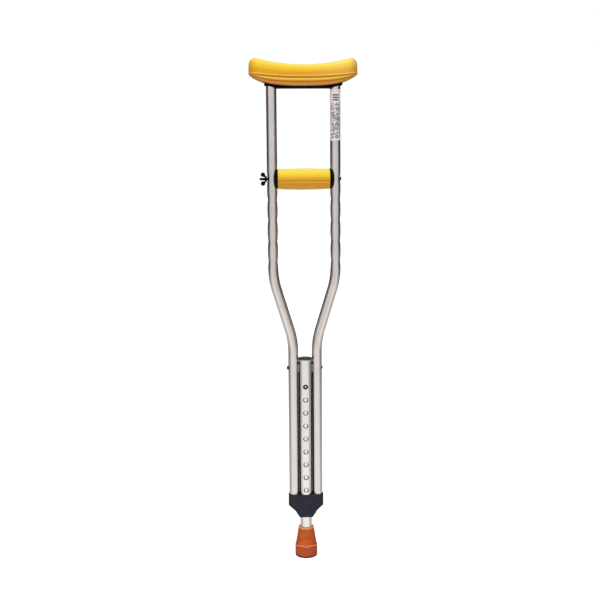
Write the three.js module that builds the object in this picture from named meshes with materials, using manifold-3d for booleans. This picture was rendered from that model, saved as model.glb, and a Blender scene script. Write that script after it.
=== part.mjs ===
// Underarm crutch of bent aluminium tube, youth size, at its shortest setting.
// Millimetres, +Z up. The origin is on the floor, under the middle of the rubber tip.
// The front of the crutch, with the row of height holes, faces -Y, and +X is to the right.

import * as THREE from 'three';
import { ConvexGeometry } from 'three/addons/geometries/ConvexGeometry.js';
import { mergeVertices } from 'three/addons/utils/BufferGeometryUtils.js';
import Module from 'manifold-3d';

const wasm = await Module();
wasm.setup();

// ---- Driving dimensions ----

const INCH = 25.4;
const GAP = 0.15; // slip between two pieces that touch on the real crutch

const RAIL_OD = 0.75 * INCH; // the two side tubes
const CENTRE_OD = INCH; // the outer tube of the height adjuster
const EXTENSION_OD = 22.2; // the tube that slides in it
const WALL = 1.2;

const SPREAD = 58.5; // centre line of a side tube, beside the grip
const CLOSE = (RAIL_OD + CENTRE_OD) / 2 + 0.12; // and where it lies along the centre tube
const BEND_TOP_Z = 542; // corners of the side tube's bent centre line
const BEND_LOW_Z = 424.3;
const BEND_RADIUS = 150;
const RAIL_TOP_Z = 913;
const RAIL_END_Z = 105;
const RIVET_Z = 908;
const RIVET_R = 2;

const GRIP_Z = 727.5;
const GRIP_OD = 38;
const GRIP_PITCH = 1.5 * INCH;
const GRIP_HOLES = 5;
const GRIP_BOLT_R = 2.5;

const HEIGHT_PITCH = INCH;
const HEIGHT_HOLES = 9;
const BUTTON_Z = 336.7;
const HEIGHT_HOLE_R = 4;

const CENTRE_TOP_Z = 388;
const CENTRE_END_Z = 92.5;
const JUNCTION_Z = 372;
const JUNCTION_BOLT_R = 2.5;
const EXTENSION_TOP_Z = 366;
const EXTENSION_END_Z = 11.6;

const FERRULE_TOP_Z = 124.2;
const FERRULE_SHOULDER_Z = 100.6;
const FERRULE_NECK_Z = 87.6;
const FERRULE_END_Z = 79.4;

const TIP_TOP_Z = 58;
const TIP_BASE_R = 21.3;

const PAD_HALF_LENGTH = 99.2;
const PAD_HALF_DEPTH = 24;
const PAD_LIP_Z = 912;

const BRACKET_HALF = 71;
const BRACKET_BOTTOM_Z = 891.4;
const BRACKET_CORNER_Z = 896.6; // underside of the bar at its two ends
const BRACKET_SLOPE_START = 50; // where the underside starts to rise towards the ends

// ---- Materials ----

const finish = (color, roughness, metalness) =>
  new THREE.MeshStandardMaterial({ color, roughness, metalness });
const aluminium = () => finish(0xc9c6c6, 0.32, 1.0);
const steel = () => finish(0x77787a, 0.35, 1.0);
const blackPlastic = () => finish(0x141417, 0.5, 0.0);
const yellowFoam = () => finish(0xefb52c, 0.62, 0.0);

// ---- Shapes ----

const crutch = new THREE.Group();

function piece(name, geometry, material) {
  const mesh = new THREE.Mesh(geometry, material);
  mesh.name = name;
  crutch.add(mesh);
  return mesh;
}

// A closed geometry with its corners merged and its collapsed triangles left out.
function welded(geometry) {
  const bare = geometry.clone();
  bare.deleteAttribute('normal');
  bare.deleteAttribute('uv');
  const merged = mergeVertices(bare, 1e-4);
  const kept = [];
  const index = merged.index.array;
  for (let i = 0; i < index.length; i += 3) {
    const [a, b, c] = [index[i], index[i + 1], index[i + 2]];
    if (a !== b && b !== c && c !== a) kept.push(a, b, c);
  }
  merged.setIndex(kept);
  return merged;
}

function solid(geometry) {
  const { attributes, index } = welded(geometry);
  return new wasm.Manifold(new wasm.Mesh({
    numProp: 3,
    vertProperties: new Float32Array(attributes.position.array),
    triVerts: new Uint32Array(index.array),
  }));
}

function fromSolid(made) {
  const { vertProperties, triVerts } = made.getMesh();
  const geometry = new THREE.BufferGeometry();
  geometry.setAttribute('position', new THREE.BufferAttribute(vertProperties, 3));
  geometry.setIndex(new THREE.BufferAttribute(triVerts, 1));
  return geometry;
}

const join = (first, ...rest) => fromSolid(rest.reduce((sum, g) => sum.add(solid(g)), solid(first)));
const cut = (first, ...rest) => fromSolid(rest.reduce((sum, g) => sum.subtract(solid(g)), solid(first)));
const common = (first, ...rest) =>
  fromSolid(rest.reduce((sum, g) => sum.intersect(solid(g)), solid(first)));

// Turned about +Z. The profile is a list of [radius, z], counter-clockwise with z up.
function turned(profile, sides = 32) {
  const points = [...profile, profile[0]].map(([r, z]) => new THREE.Vector2(r, z));
  return welded(new THREE.LatheGeometry(points, sides).rotateX(Math.PI / 2));
}

// Turned about the X axis, with the profile as a list of [radius, x].
const turnedAlongX = (profile, sides) => turned(profile, sides).rotateY(Math.PI / 2);

const ring = (inner, outer, low, high) => [[inner, low], [outer, low], [outer, high], [inner, high]];

function rod(axis, radius, from, to, [u, v] = [0, 0], sides = 24) {
  const made = new THREE.CylinderGeometry(radius, radius, to - from, sides);
  const middle = (from + to) / 2;
  if (axis === 'x') return made.rotateZ(Math.PI / 2).translate(middle, u, v);
  if (axis === 'y') return made.translate(u, middle, v);
  return made.rotateX(Math.PI / 2).translate(u, v, middle);
}

const block = (low, high) =>
  new THREE.BoxGeometry(...high.map((value, i) => value - low[i]))
    .translate(...high.map((value, i) => (value + low[i]) / 2));

const outline = (points) => new THREE.Shape(points.map(([u, v]) => new THREE.Vector2(u, v)));

// A front outline in X and Z, given its full depth in Y about the middle.
const throughY = (shape, depth, curveSegments = 12) =>
  new THREE.ExtrudeGeometry(shape, { depth, bevelEnabled: false, curveSegments })
    .rotateX(Math.PI / 2).translate(0, depth / 2, 0);

// A side outline in Y and Z, given its full width in X about the middle.
const throughX = (shape, width, curveSegments = 12) =>
  new THREE.ExtrudeGeometry(shape, { depth: width, bevelEnabled: false, curveSegments })
    .applyMatrix4(new THREE.Matrix4().makeBasis(
      new THREE.Vector3(0, 1, 0), new THREE.Vector3(0, 0, 1), new THREE.Vector3(1, 0, 0)))
    .translate(-width / 2, 0, 0);

// One curve after another, each with its own number of steps.
class Route extends THREE.Curve {
  constructor(legs) {
    super();
    this.legs = legs;
    this.steps = legs.reduce((sum, leg) => sum + leg.steps, 0);
  }

  leg(t) {
    let at = t * this.steps;
    for (const leg of this.legs) {
      if (at <= leg.steps + 1e-9) return [leg.curve, Math.min(at / leg.steps, 1)];
      at -= leg.steps;
    }
    return [this.legs.at(-1).curve, 1];
  }

  getPoint(t) {
    const [curve, at] = this.leg(t);
    return curve.getPoint(at);
  }

  getTangent(t) {
    const [curve, at] = this.leg(t);
    return curve.getTangent(at);
  }

  getPointAt(u) {
    return this.getPoint(u);
  }

  getTangentAt(u) {
    return this.getTangent(u);
  }
}

// ---- Side tubes: straight beside the grip, bent in, and straight down the centre tube ----

const railTools = [];
for (let i = 0; i < GRIP_HOLES; i += 1) {
  railTools.push(rod('x', GRIP_BOLT_R + 0.5, -80, 80, [0, GRIP_Z - i * GRIP_PITCH], 16));
}
railTools.push(rod('x', JUNCTION_BOLT_R + 0.25, -80, 80, [0, JUNCTION_Z], 16));
const spacerHole = rod('x', 3.6, -18, 18, [0, JUNCTION_Z]);
const rivetHole = (side) => rod('y', RIVET_R + 0.2, -20, 20, [side * SPREAD, RIVET_Z]);

function railRoute(side) {
  const at = (x, z) => new THREE.Vector3(side * x, 0, z);
  const lean = Math.atan((SPREAD - CLOSE) / (BEND_TOP_Z - BEND_LOW_Z));
  const reach = BEND_RADIUS * Math.tan(lean / 2);
  const [dx, dz] = [reach * Math.sin(lean), reach * Math.cos(lean)];
  const topBend = [at(SPREAD, BEND_TOP_Z + reach), at(SPREAD, BEND_TOP_Z), at(SPREAD - dx, BEND_TOP_Z - dz)];
  const lowBend = [at(CLOSE + dx, BEND_LOW_Z + dz), at(CLOSE, BEND_LOW_Z), at(CLOSE, BEND_LOW_Z - reach)];
  const line = (from, to) => ({ curve: new THREE.LineCurve3(from, to), steps: 1 });
  const bend = (corners) => ({ curve: new THREE.QuadraticBezierCurve3(...corners), steps: 5 });
  return new Route([
    line(at(SPREAD, RAIL_TOP_Z), topBend[0]),
    bend(topBend),
    line(topBend[2], lowBend[0]),
    bend(lowBend),
    line(lowBend[2], at(CLOSE, RAIL_END_Z)),
  ]);
}

function rail(side) {
  const route = railRoute(side);
  const section = new THREE.Shape().absarc(0, 0, RAIL_OD / 2, 0, 2 * Math.PI);
  section.holes.push(new THREE.Path().absarc(0, 0, RAIL_OD / 2 - WALL, 0, 2 * Math.PI, true));
  const tube = new THREE.ExtrudeGeometry(section, {
    extrudePath: route, steps: route.steps, curveSegments: 12,
  });
  return cut(tube, ...railTools, spacerHole, rivetHole(side));
}

for (const [name, side] of [['left', -1], ['right', 1]]) {
  piece(`${name}_side_tube`, rail(side), aluminium());
}

// ---- Centre tube, with the row of height holes in its front wall, and its top plug ----

const heightHoles = [];
for (let i = 0; i < HEIGHT_HOLES; i += 1) {
  heightHoles.push(rod('y', HEIGHT_HOLE_R, -15, -8, [0, BUTTON_Z - i * HEIGHT_PITCH]));
}
piece('centre_tube', cut(
  turned(ring(CENTRE_OD / 2 - WALL, CENTRE_OD / 2, CENTRE_END_Z, CENTRE_TOP_Z)),
  ...heightHoles,
  spacerHole,
), aluminium());

const PLUG_RIM_R = CENTRE_OD / 2 + 0.1;
const PLUG_SKIRT_R = CENTRE_OD / 2 - WALL - GAP;
const plugProfile = [
  [0, CENTRE_TOP_Z - 3], [PLUG_SKIRT_R - 1.6, CENTRE_TOP_Z - 3], [PLUG_SKIRT_R - 1.6, CENTRE_TOP_Z - 8],
  [PLUG_SKIRT_R, CENTRE_TOP_Z - 8], [PLUG_SKIRT_R, CENTRE_TOP_Z + 0.1], [PLUG_RIM_R, CENTRE_TOP_Z + 0.1],
  [PLUG_RIM_R, CENTRE_TOP_Z + 2.2], [PLUG_RIM_R - 0.7, CENTRE_TOP_Z + 2.9], [9.6, CENTRE_TOP_Z + 2.9],
  [9.2, CENTRE_TOP_Z + 1.6], [0, CENTRE_TOP_Z + 2.1],
];
piece('centre_tube_plug', turned(plugProfile), blackPlastic());

// ---- Junction: a bolt through all three tubes, and a saddle spacer in each pair of grooves ----

const JUNCTION_FACE = CLOSE + RAIL_OD / 2 + 0.1;
const NUT_HEIGHT = 2.2;
const NUT_CORNER_R = 3.9;
const JUNCTION_BOLT_END = -JUNCTION_FACE - NUT_HEIGHT - 0.5;
const JUNCTION_HEAD_R = 3.3;
const junctionBolt = [
  [0, JUNCTION_BOLT_END], [JUNCTION_BOLT_R - 0.5, JUNCTION_BOLT_END],
  [JUNCTION_BOLT_R, JUNCTION_BOLT_END + 0.5], [JUNCTION_BOLT_R, JUNCTION_FACE],
  [JUNCTION_HEAD_R, JUNCTION_FACE], [JUNCTION_HEAD_R, JUNCTION_FACE + 0.4],
  [JUNCTION_HEAD_R - 1, JUNCTION_FACE + 1.2], [0, JUNCTION_FACE + 1.4],
];
piece('junction_bolt', turnedAlongX(junctionBolt, 20), steel()).position.z = JUNCTION_Z;

piece('junction_nut', cut(
  rod('x', NUT_CORNER_R, -JUNCTION_FACE - NUT_HEIGHT, -JUNCTION_FACE, [0, 0], 6).rotateX(Math.PI / 6),
  rod('x', JUNCTION_BOLT_R + GAP, -JUNCTION_FACE - 5, -JUNCTION_FACE + 5),
), steel()).position.z = JUNCTION_Z;

function spacer(side) {
  const [height, depth, slot] = [7.6, 6.2, 2.6];
  const low = JUNCTION_Z - height;
  const high = JUNCTION_Z + height;
  const wedges = cut(
    block([9, -depth, low], [19, depth, high]),
    block([8, -slot, low - 1], [20, slot, high + 1]),
    rod('z', CENTRE_OD / 2 + GAP, low - 1, high + 1, [0, 0], 32),
    rod('z', RAIL_OD / 2 + GAP, low - 1, high + 1, [CLOSE, 0], 32),
  );
  const bush = rod('x', 3.35, 11.2, 14.6, [0, JUNCTION_Z]);
  const bore = rod('x', JUNCTION_BOLT_R + GAP, 8, 20, [0, JUNCTION_Z]);
  const made = cut(join(wedges, bush), bore);
  return side > 0 ? made : made.rotateZ(Math.PI);
}

for (const [name, side] of [['left', -1], ['right', 1]]) {
  piece(`${name}_saddle_spacer`, spacer(side), finish(0xb9bbbb, 0.45, 0.0));
}

// ---- Bottom ferrule: one moulding that holds the ends of all three tubes ----

function planRing(spacing, endRadius, middleRadius, z) {
  const points = [];
  for (const [x, radius] of [[-spacing, endRadius], [0, middleRadius], [spacing, endRadius]]) {
    for (let i = 0; i < 32; i += 1) {
      const turn = (i * Math.PI) / 16;
      points.push(new THREE.Vector3(x + radius * Math.cos(turn), radius * Math.sin(turn), z));
    }
  }
  return points;
}

// A flat-fronted ring with rounded corners.
function boxRing(halfWidth, halfDepth, corner, z) {
  const points = [];
  for (const [u, v] of [[1, 1], [-1, 1], [-1, -1], [1, -1]]) {
    for (let i = 0; i < 32; i += 1) {
      const turn = (i * Math.PI) / 16;
      points.push(new THREE.Vector3(
        u * (halfWidth - corner) + corner * Math.cos(turn),
        v * (halfDepth - corner) + corner * Math.sin(turn),
        z,
      ));
    }
  }
  return points;
}

const FERRULE_END_R = RAIL_OD / 2 + 1.8;
const FERRULE_MIDDLE_R = CENTRE_OD / 2 + 2;
const neck = boxRing(17.4, 13.6, 5, FERRULE_NECK_Z);
const ferruleBody = join(
  new ConvexGeometry([
    ...planRing(CLOSE - 0.3, FERRULE_END_R - 0.3, FERRULE_MIDDLE_R - 0.3, FERRULE_TOP_Z),
    ...planRing(CLOSE, FERRULE_END_R, FERRULE_MIDDLE_R, FERRULE_TOP_Z - 0.8),
    ...planRing(CLOSE, FERRULE_END_R, FERRULE_MIDDLE_R, FERRULE_SHOULDER_Z),
    ...neck,
  ]),
  new ConvexGeometry([...neck, ...boxRing(13.6, 13, 4, FERRULE_END_Z)]),
);
piece('bottom_ferrule', cut(
  ferruleBody,
  rod('z', RAIL_OD / 2 + GAP, RAIL_END_Z - 0.4, 130, [-CLOSE, 0], 32),
  rod('z', RAIL_OD / 2 + GAP, RAIL_END_Z - 0.4, 130, [CLOSE, 0], 32),
  rod('z', CENTRE_OD / 2 + GAP, CENTRE_END_Z - 0.4, 130, [0, 0], 32),
  rod('z', EXTENSION_OD / 2 + 0.3, 70, 130, [0, 0], 32),
), finish(0x2b2b38, 0.5, 0.0));

// ---- Extension: inner tube, rubber tip, and the steel disc that saves the tip ----

piece('extension_tube', cut(
  turned(ring(EXTENSION_OD / 2 - WALL, EXTENSION_OD / 2, EXTENSION_END_Z, EXTENSION_TOP_Z)),
  rod('y', HEIGHT_HOLE_R, -15, -7, [0, BUTTON_Z]),
), aluminium());

const TIP_FLOOR_Z = 10;
const TIP_BORE_R = EXTENSION_OD / 2 + 0.2;
const tipProfile = [
  [0, 0], [6, 0], [6.6, 1.4], [8.6, 1.4], [9.2, 0], [12.6, 0], [13.2, 1.4], [15.2, 1.4], [15.8, 0],
  [TIP_BASE_R - 1.2, 0], [TIP_BASE_R, 1.4], [TIP_BASE_R, 20.2], [20.2, 24], [19.8, 28], [18.6, 32.4],
  [14.6, TIP_TOP_Z - 1.2], [14, TIP_TOP_Z], [TIP_BORE_R + 0.4, TIP_TOP_Z], [TIP_BORE_R, TIP_TOP_Z - 0.6],
  [TIP_BORE_R, TIP_FLOOR_Z], [0, TIP_FLOOR_Z],
];
piece('rubber_tip', turned(tipProfile, 32), finish(0xc4602e, 0.65, 0.0));
piece('tip_disc', turned([[0, 10.2], [10.9, 10.2], [10.9, 11.4], [0, 11.4]]), steel());

// ---- Snap button: a round pin on a U-shaped spring clip inside the extension tube ----

const CLIP_OUTER = 8.95;
const CLIP_THICK = 0.6;
const CLIP_BEND_Z = 305;
function clipShape() {
  const inner = CLIP_OUTER - CLIP_THICK;
  const shape = new THREE.Shape();
  shape.moveTo(-CLIP_OUTER, BUTTON_Z + 7);
  shape.lineTo(-CLIP_OUTER, CLIP_BEND_Z);
  shape.absarc(0, CLIP_BEND_Z, CLIP_OUTER, Math.PI, 2 * Math.PI);
  shape.lineTo(CLIP_OUTER, BUTTON_Z);
  shape.lineTo(inner, BUTTON_Z);
  shape.lineTo(inner, CLIP_BEND_Z);
  shape.absarc(0, CLIP_BEND_Z, inner, 2 * Math.PI, Math.PI, true);
  shape.lineTo(-inner, BUTTON_Z + 7);
  return shape;
}
piece('snap_clip', throughX(clipShape(), 6.6), steel());

const BUTTON_R = 3.7;
const buttonProfile = [
  [0, 9.05], [BUTTON_R, 9.05], [BUTTON_R, 12.9], [BUTTON_R - 0.5, 13.7], [BUTTON_R - 1.5, 14.2], [0, 14.5],
];
piece('snap_button', turned(buttonProfile, 24).rotateX(Math.PI / 2), steel()).position.z = BUTTON_Z;

// ---- Underarm bracket: a saddle board with a socket for the top of each side tube ----

function bracketBody(grow) {
  const [barTop, barHalfDepth, chamfer] = [908, 11.4, 3];
  const bar = throughY(outline([
    [-BRACKET_HALF, barTop], [-BRACKET_HALF, BRACKET_CORNER_Z], [-BRACKET_HALF + chamfer, BRACKET_CORNER_Z - 1],
    [-BRACKET_SLOPE_START, BRACKET_BOTTOM_Z], [BRACKET_SLOPE_START, BRACKET_BOTTOM_Z],
    [BRACKET_HALF - chamfer, BRACKET_CORNER_Z - 1], [BRACKET_HALF, BRACKET_CORNER_Z], [BRACKET_HALF, barTop],
  ]), 2 * (barHalfDepth + grow));
  const [side, inset, halfDepth] = [80 + grow, 70, 12.5 + grow];
  const [low, corner, middle, end] = [904 - grow, 909 - grow, 918 + grow, 921 + grow];
  const board = throughY(outline([
    [-side, corner], [-inset, low], [inset, low], [side, corner], [side, end], [45, middle], [-45, middle],
    [-side, end],
  ]), 2 * halfDepth);
  return join(bar, board);
}
const bracketTools = [];
for (const side of [-1, 1]) {
  bracketTools.push(rod('z', RAIL_OD / 2 + GAP, 880, RAIL_TOP_Z + 0.4, [side * SPREAD, 0], 32));
  bracketTools.push(rivetHole(side));
}
piece('underarm_bracket', cut(bracketBody(0), ...bracketTools), blackPlastic());

for (const [name, side] of [['left', -1], ['right', 1]]) {
  piece(`${name}_bracket_rivet`, rod('y', RIVET_R, -12.4, 12.4, [side * SPREAD, RIVET_Z], 16), steel());
}

// ---- Underarm pad: a moulded foam saddle that slips over the bracket ----

const PAD_SADDLE_Z = 933.5;
const PAD_CREST_Z = 945;
function padFront() {
  const rise = PAD_CREST_Z - PAD_SADDLE_Z;
  const crest = 88;
  const saddleRadius = (crest * crest + rise * rise) / (2 * rise);
  const sweep = Math.asin(crest / saddleRadius);
  const shape = new THREE.Shape();
  shape.moveTo(0, 894.5);
  shape.quadraticCurveTo(38, 895, 70.5, 901);
  shape.lineTo(PAD_HALF_LENGTH - 1, 915.5);
  shape.lineTo(PAD_HALF_LENGTH, 918);
  shape.lineTo(PAD_HALF_LENGTH, 930);
  shape.quadraticCurveTo(PAD_HALF_LENGTH, PAD_CREST_Z, crest, PAD_CREST_Z);
  shape.absarc(0, PAD_SADDLE_Z + saddleRadius, saddleRadius, sweep - Math.PI / 2, -sweep - Math.PI / 2, true);
  shape.quadraticCurveTo(-PAD_HALF_LENGTH, PAD_CREST_Z, -PAD_HALF_LENGTH, 930);
  shape.lineTo(-PAD_HALF_LENGTH, 918);
  shape.lineTo(-PAD_HALF_LENGTH + 1, 915.5);
  shape.lineTo(-70.5, 901);
  shape.quadraticCurveTo(-38, 895, 0, 894.5);
  return shape;
}

function padSide() {
  const shape = new THREE.Shape();
  shape.moveTo(-13.5, 894);
  shape.lineTo(13.5, 894);
  shape.lineTo(PAD_HALF_DEPTH - 1.5, PAD_LIP_Z - 1);
  shape.lineTo(PAD_HALF_DEPTH, PAD_LIP_Z);
  shape.lineTo(PAD_HALF_DEPTH, 926);
  shape.quadraticCurveTo(PAD_HALF_DEPTH, PAD_CREST_Z + 0.5, 6, PAD_CREST_Z + 0.5);
  shape.lineTo(-6, PAD_CREST_Z + 0.5);
  shape.quadraticCurveTo(-PAD_HALF_DEPTH, PAD_CREST_Z + 0.5, -PAD_HALF_DEPTH, 926);
  shape.lineTo(-PAD_HALF_DEPTH, PAD_LIP_Z);
  shape.lineTo(-PAD_HALF_DEPTH + 1.5, PAD_LIP_Z - 1);
  return shape;
}

function padPlan() {
  const [end, round] = [PAD_HALF_LENGTH, 20];
  const shape = new THREE.Shape();
  shape.moveTo(-end + round, -PAD_HALF_DEPTH);
  shape.lineTo(end - round, -PAD_HALF_DEPTH);
  shape.bezierCurveTo(end - 6, -PAD_HALF_DEPTH, end, -16, end, 0);
  shape.bezierCurveTo(end, 16, end - 6, PAD_HALF_DEPTH, end - round, PAD_HALF_DEPTH);
  shape.lineTo(-end + round, PAD_HALF_DEPTH);
  shape.bezierCurveTo(-end + 6, PAD_HALF_DEPTH, -end, 16, -end, 0);
  shape.bezierCurveTo(-end, -16, -end + 6, -PAD_HALF_DEPTH, -end + round, -PAD_HALF_DEPTH);
  return shape;
}

const padBlock = common(
  throughY(padFront(), 60, 10),
  throughX(padSide(), 220, 6),
  new THREE.ExtrudeGeometry(padPlan(), { depth: 80, bevelEnabled: false, curveSegments: 8 })
    .translate(0, 0, 880),
);
piece('underarm_pad', cut(padBlock, bracketBody(0.3)), yellowFoam());

// ---- Hand grip: foam sleeve on a rigid core, between two end caps that straddle the tubes ----

const SLEEVE_LEFT = -48.8; // the sleeve has crept a little to the left on its core
const SLEEVE_RIGHT = 48.2;
const CORE_R = 13;
const SLEEVE_R = GRIP_OD / 2;
const BOLT_BORE_R = GRIP_BOLT_R + 0.3;

piece('grip_core', turnedAlongX(ring(BOLT_BORE_R, CORE_R, -45.6, 45.6), 32), finish(0x2a2622, 0.6, 0.0))
  .position.z = GRIP_Z;

const sleeveProfile = [
  [CORE_R + GAP, SLEEVE_LEFT], [SLEEVE_R - 0.8, SLEEVE_LEFT], [SLEEVE_R - 0.2, SLEEVE_LEFT + 1],
  [SLEEVE_R, -20], [SLEEVE_R, 20], [SLEEVE_R - 0.2, SLEEVE_RIGHT - 1], [SLEEVE_R - 0.8, SLEEVE_RIGHT],
  [CORE_R + GAP, SLEEVE_RIGHT],
];
piece('grip_sleeve', turnedAlongX(sleeveProfile, 32), yellowFoam()).position.z = GRIP_Z;

// flange is where the cap meets the sleeve, and dome is how far it swells out beyond that
function capProfile(flange, dome) {
  const profile = [[0, 45.9], [CORE_R, 45.9], [CORE_R, flange], [SLEEVE_R, flange]];
  for (let i = 1; i <= 6; i += 1) {
    const turn = (i * Math.PI) / 12;
    profile.push([SLEEVE_R * Math.cos(turn), flange + 0.5 + dome * Math.sin(turn)]);
  }
  return profile;
}
for (const [name, side, flange, dome] of [
  ['left', -1, -SLEEVE_LEFT + 0.2, 3.8], ['right', 1, SLEEVE_RIGHT + 0.2, 7.4],
]) {
  const cap = cut(
    turnedAlongX(capProfile(flange, dome), 28),
    rod('z', RAIL_OD / 2 + GAP, -30, 30, [SPREAD, 0], 32),
    rod('x', BOLT_BORE_R, 40, 70),
  );
  piece(`${name}_grip_cap`, side > 0 ? cap : cap.rotateZ(Math.PI), blackPlastic()).position.z = GRIP_Z;
}

// ---- Grip bolt, its washer and the wing nut that clamps the grip ----

const RAIL_FACE = SPREAD + RAIL_OD / 2 + 0.1;
const BOLT_TIP = 81.6;
const gripBolt = [
  [0, -BOLT_TIP], [GRIP_BOLT_R - 0.6, -BOLT_TIP], [GRIP_BOLT_R, -BOLT_TIP + 0.8], [GRIP_BOLT_R, RAIL_FACE],
  [3.8, RAIL_FACE], [3.8, RAIL_FACE + 0.4], [2.6, RAIL_FACE + 1.2], [0, RAIL_FACE + 1.4],
];
piece('grip_bolt', turnedAlongX(gripBolt, 24), steel()).position.z = GRIP_Z;

const NUT_BORE_R = GRIP_BOLT_R + 0.15;
piece('wing_washer', turnedAlongX(ring(NUT_BORE_R + 0.1, 6, -RAIL_FACE - 1, -RAIL_FACE), 24), steel())
  .position.z = GRIP_Z;

const HUB_FACE = -RAIL_FACE - 1.1;
const hubProfile = [
  [0, HUB_FACE - 3], [3.4, HUB_FACE - 3], [3.9, HUB_FACE - 2.5], [4.9, HUB_FACE - 0.6], [4.9, HUB_FACE],
  [0, HUB_FACE],
];
const EAR_R = 4.1;
const [EAR_X, EAR_Z] = [HUB_FACE - 6.2, 8.1];
function wing(side) {
  const arm = throughY(outline([
    [HUB_FACE - 0.5, 2.6], [HUB_FACE - 2.6, 3], [EAR_X - 2.2, EAR_Z - 2.6], [EAR_X - 1, EAR_Z + 3.2],
    [EAR_X + 2.2, EAR_Z + 2.4], [HUB_FACE - 0.5, 4.9],
  ].toReversed()), 3);
  const pad = new THREE.SphereGeometry(EAR_R, 12, 8).scale(1, 0.72, 1).translate(EAR_X, 0, EAR_Z);
  const made = join(arm, pad);
  return side > 0 ? made : made.rotateX(Math.PI);
}
piece('wing_nut', cut(
  join(turnedAlongX(hubProfile, 24), wing(1), wing(-1)),
  rod('x', NUT_BORE_R, -90, -60),
), blackPlastic()).position.z = GRIP_Z;

// ---- Blank size label wrapped round the front of the right tube ----

const LABEL_ARC = THREE.MathUtils.degToRad(150);
const LABEL_LOW_Z = 797;
const LABEL_HIGH_Z = 889;
function labelShape() {
  const front = -Math.PI / 2;
  const [inner, outer] = [RAIL_OD / 2 + 0.08, RAIL_OD / 2 + 0.22];
  const shape = new THREE.Shape();
  shape.absarc(0, 0, outer, front - LABEL_ARC / 2, front + LABEL_ARC / 2);
  shape.absarc(0, 0, inner, front + LABEL_ARC / 2, front - LABEL_ARC / 2, true);
  return shape;
}
piece('blank_label', new THREE.ExtrudeGeometry(labelShape(), {
  depth: LABEL_HIGH_Z - LABEL_LOW_Z, bevelEnabled: false, curveSegments: 16,
}), finish(0xd8d6d4, 0.5, 0.0)).position.set(SPREAD, 0, LABEL_LOW_Z);

export default crutch;
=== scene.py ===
import math

import bmesh
import bpy
import numpy as np
from mathutils import Matrix, Vector, noise


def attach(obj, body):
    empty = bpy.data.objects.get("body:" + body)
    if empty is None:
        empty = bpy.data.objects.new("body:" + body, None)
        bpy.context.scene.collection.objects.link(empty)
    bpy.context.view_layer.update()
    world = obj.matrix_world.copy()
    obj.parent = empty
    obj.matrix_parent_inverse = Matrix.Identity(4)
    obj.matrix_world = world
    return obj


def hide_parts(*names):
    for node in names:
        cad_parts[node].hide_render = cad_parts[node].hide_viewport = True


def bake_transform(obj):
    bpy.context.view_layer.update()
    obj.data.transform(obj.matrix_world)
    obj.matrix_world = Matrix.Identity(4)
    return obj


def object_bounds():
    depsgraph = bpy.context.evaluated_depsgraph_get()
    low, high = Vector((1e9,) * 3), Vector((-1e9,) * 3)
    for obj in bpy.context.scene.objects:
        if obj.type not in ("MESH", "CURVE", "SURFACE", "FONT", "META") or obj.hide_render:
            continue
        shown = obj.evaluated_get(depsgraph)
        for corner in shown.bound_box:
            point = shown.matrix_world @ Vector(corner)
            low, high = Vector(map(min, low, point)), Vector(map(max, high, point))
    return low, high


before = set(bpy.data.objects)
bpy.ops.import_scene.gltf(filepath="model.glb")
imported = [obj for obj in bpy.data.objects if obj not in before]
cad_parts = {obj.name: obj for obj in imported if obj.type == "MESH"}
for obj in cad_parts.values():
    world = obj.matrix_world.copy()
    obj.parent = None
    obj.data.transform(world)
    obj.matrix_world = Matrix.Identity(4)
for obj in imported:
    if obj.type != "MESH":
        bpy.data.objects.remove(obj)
cad_low, cad_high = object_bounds()

# ---- Side tubes ----
# Two drawn aluminium tubes, 3/4 inch across with a 1.2 mm wall, satin anodised. Each is bent twice so
# that it runs straight beside the grip and straight down the centre tube. The wall is dished inwards
# round each cross hole for the grip bolt, which leaves the scalloped outline below the grip.

MM = 0.001
SIDE_R = 9.525 * MM
WALL = 1.2 * MM
SPREAD = 58.5 * MM
CLOSE = 22.345 * MM
TOP_BEND_Z = 542 * MM
LOW_BEND_Z = 424.3 * MM
BEND_RADIUS = 150 * MM
SIDE_TOP_Z = 913 * MM
SIDE_END_Z = 105 * MM
GRIP_Z = 727.5 * MM
GRIP_HOLES = [GRIP_Z - i * 38.1 * MM for i in range(5)]
GRIP_HOLE_R = 3 * MM
JUNCTION_Z = 372 * MM
RIVET_Z = 908 * MM
JUNCTION_HOLE_R = 2.75 * MM
BUSH_HOLE_R = 3.6 * MM
RIVET_HOLE_R = 2.2 * MM
DISH_DEPTH = 0.9 * MM
DISH_SIZE = 6 * MM
SAME_POINT = 1e-6
SIDES = (("left", -1), ("right", 1))


def linear(red, green, blue):
    """An sRGB colour, 0 to 255 a channel, as the linear colour that a shader takes."""
    shares = [channel / 255 for channel in (red, green, blue)]
    return tuple(s / 12.92 if s < 0.0405 else ((s + 0.055) / 1.055) ** 2.4 for s in shares) + (1.0,)


class Signal:
    """One shader output. Arithmetic on it adds the Math nodes."""

    def __init__(self, finish, socket):
        self.finish = finish
        self.socket = socket

    def __add__(self, other):
        return self.finish.maths("ADD", self, other)

    def __radd__(self, other):
        return self.finish.maths("ADD", other, self)

    def __sub__(self, other):
        return self.finish.maths("SUBTRACT", self, other)

    def __rsub__(self, other):
        return self.finish.maths("SUBTRACT", other, self)

    def __mul__(self, other):
        return self.finish.maths("MULTIPLY", self, other)

    def __rmul__(self, other):
        return self.finish.maths("MULTIPLY", other, self)

    def __truediv__(self, other):
        return self.finish.maths("DIVIDE", self, other)

    def __neg__(self):
        return self.finish.maths("MULTIPLY", self, -1.0)

    def __pow__(self, other):
        return self.finish.maths("POWER", self, other)

    def __abs__(self):
        return self.finish.maths("ABSOLUTE", self)

    def step(self, low, high):
        """0 below low, 1 above high, and smooth between them."""
        settings = {"interpolation_type": "SMOOTHSTEP"}
        return self.finish.node("MapRange", settings, {0: self, 1: low, 2: high, 3: 0.0, 4: 1.0})


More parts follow.
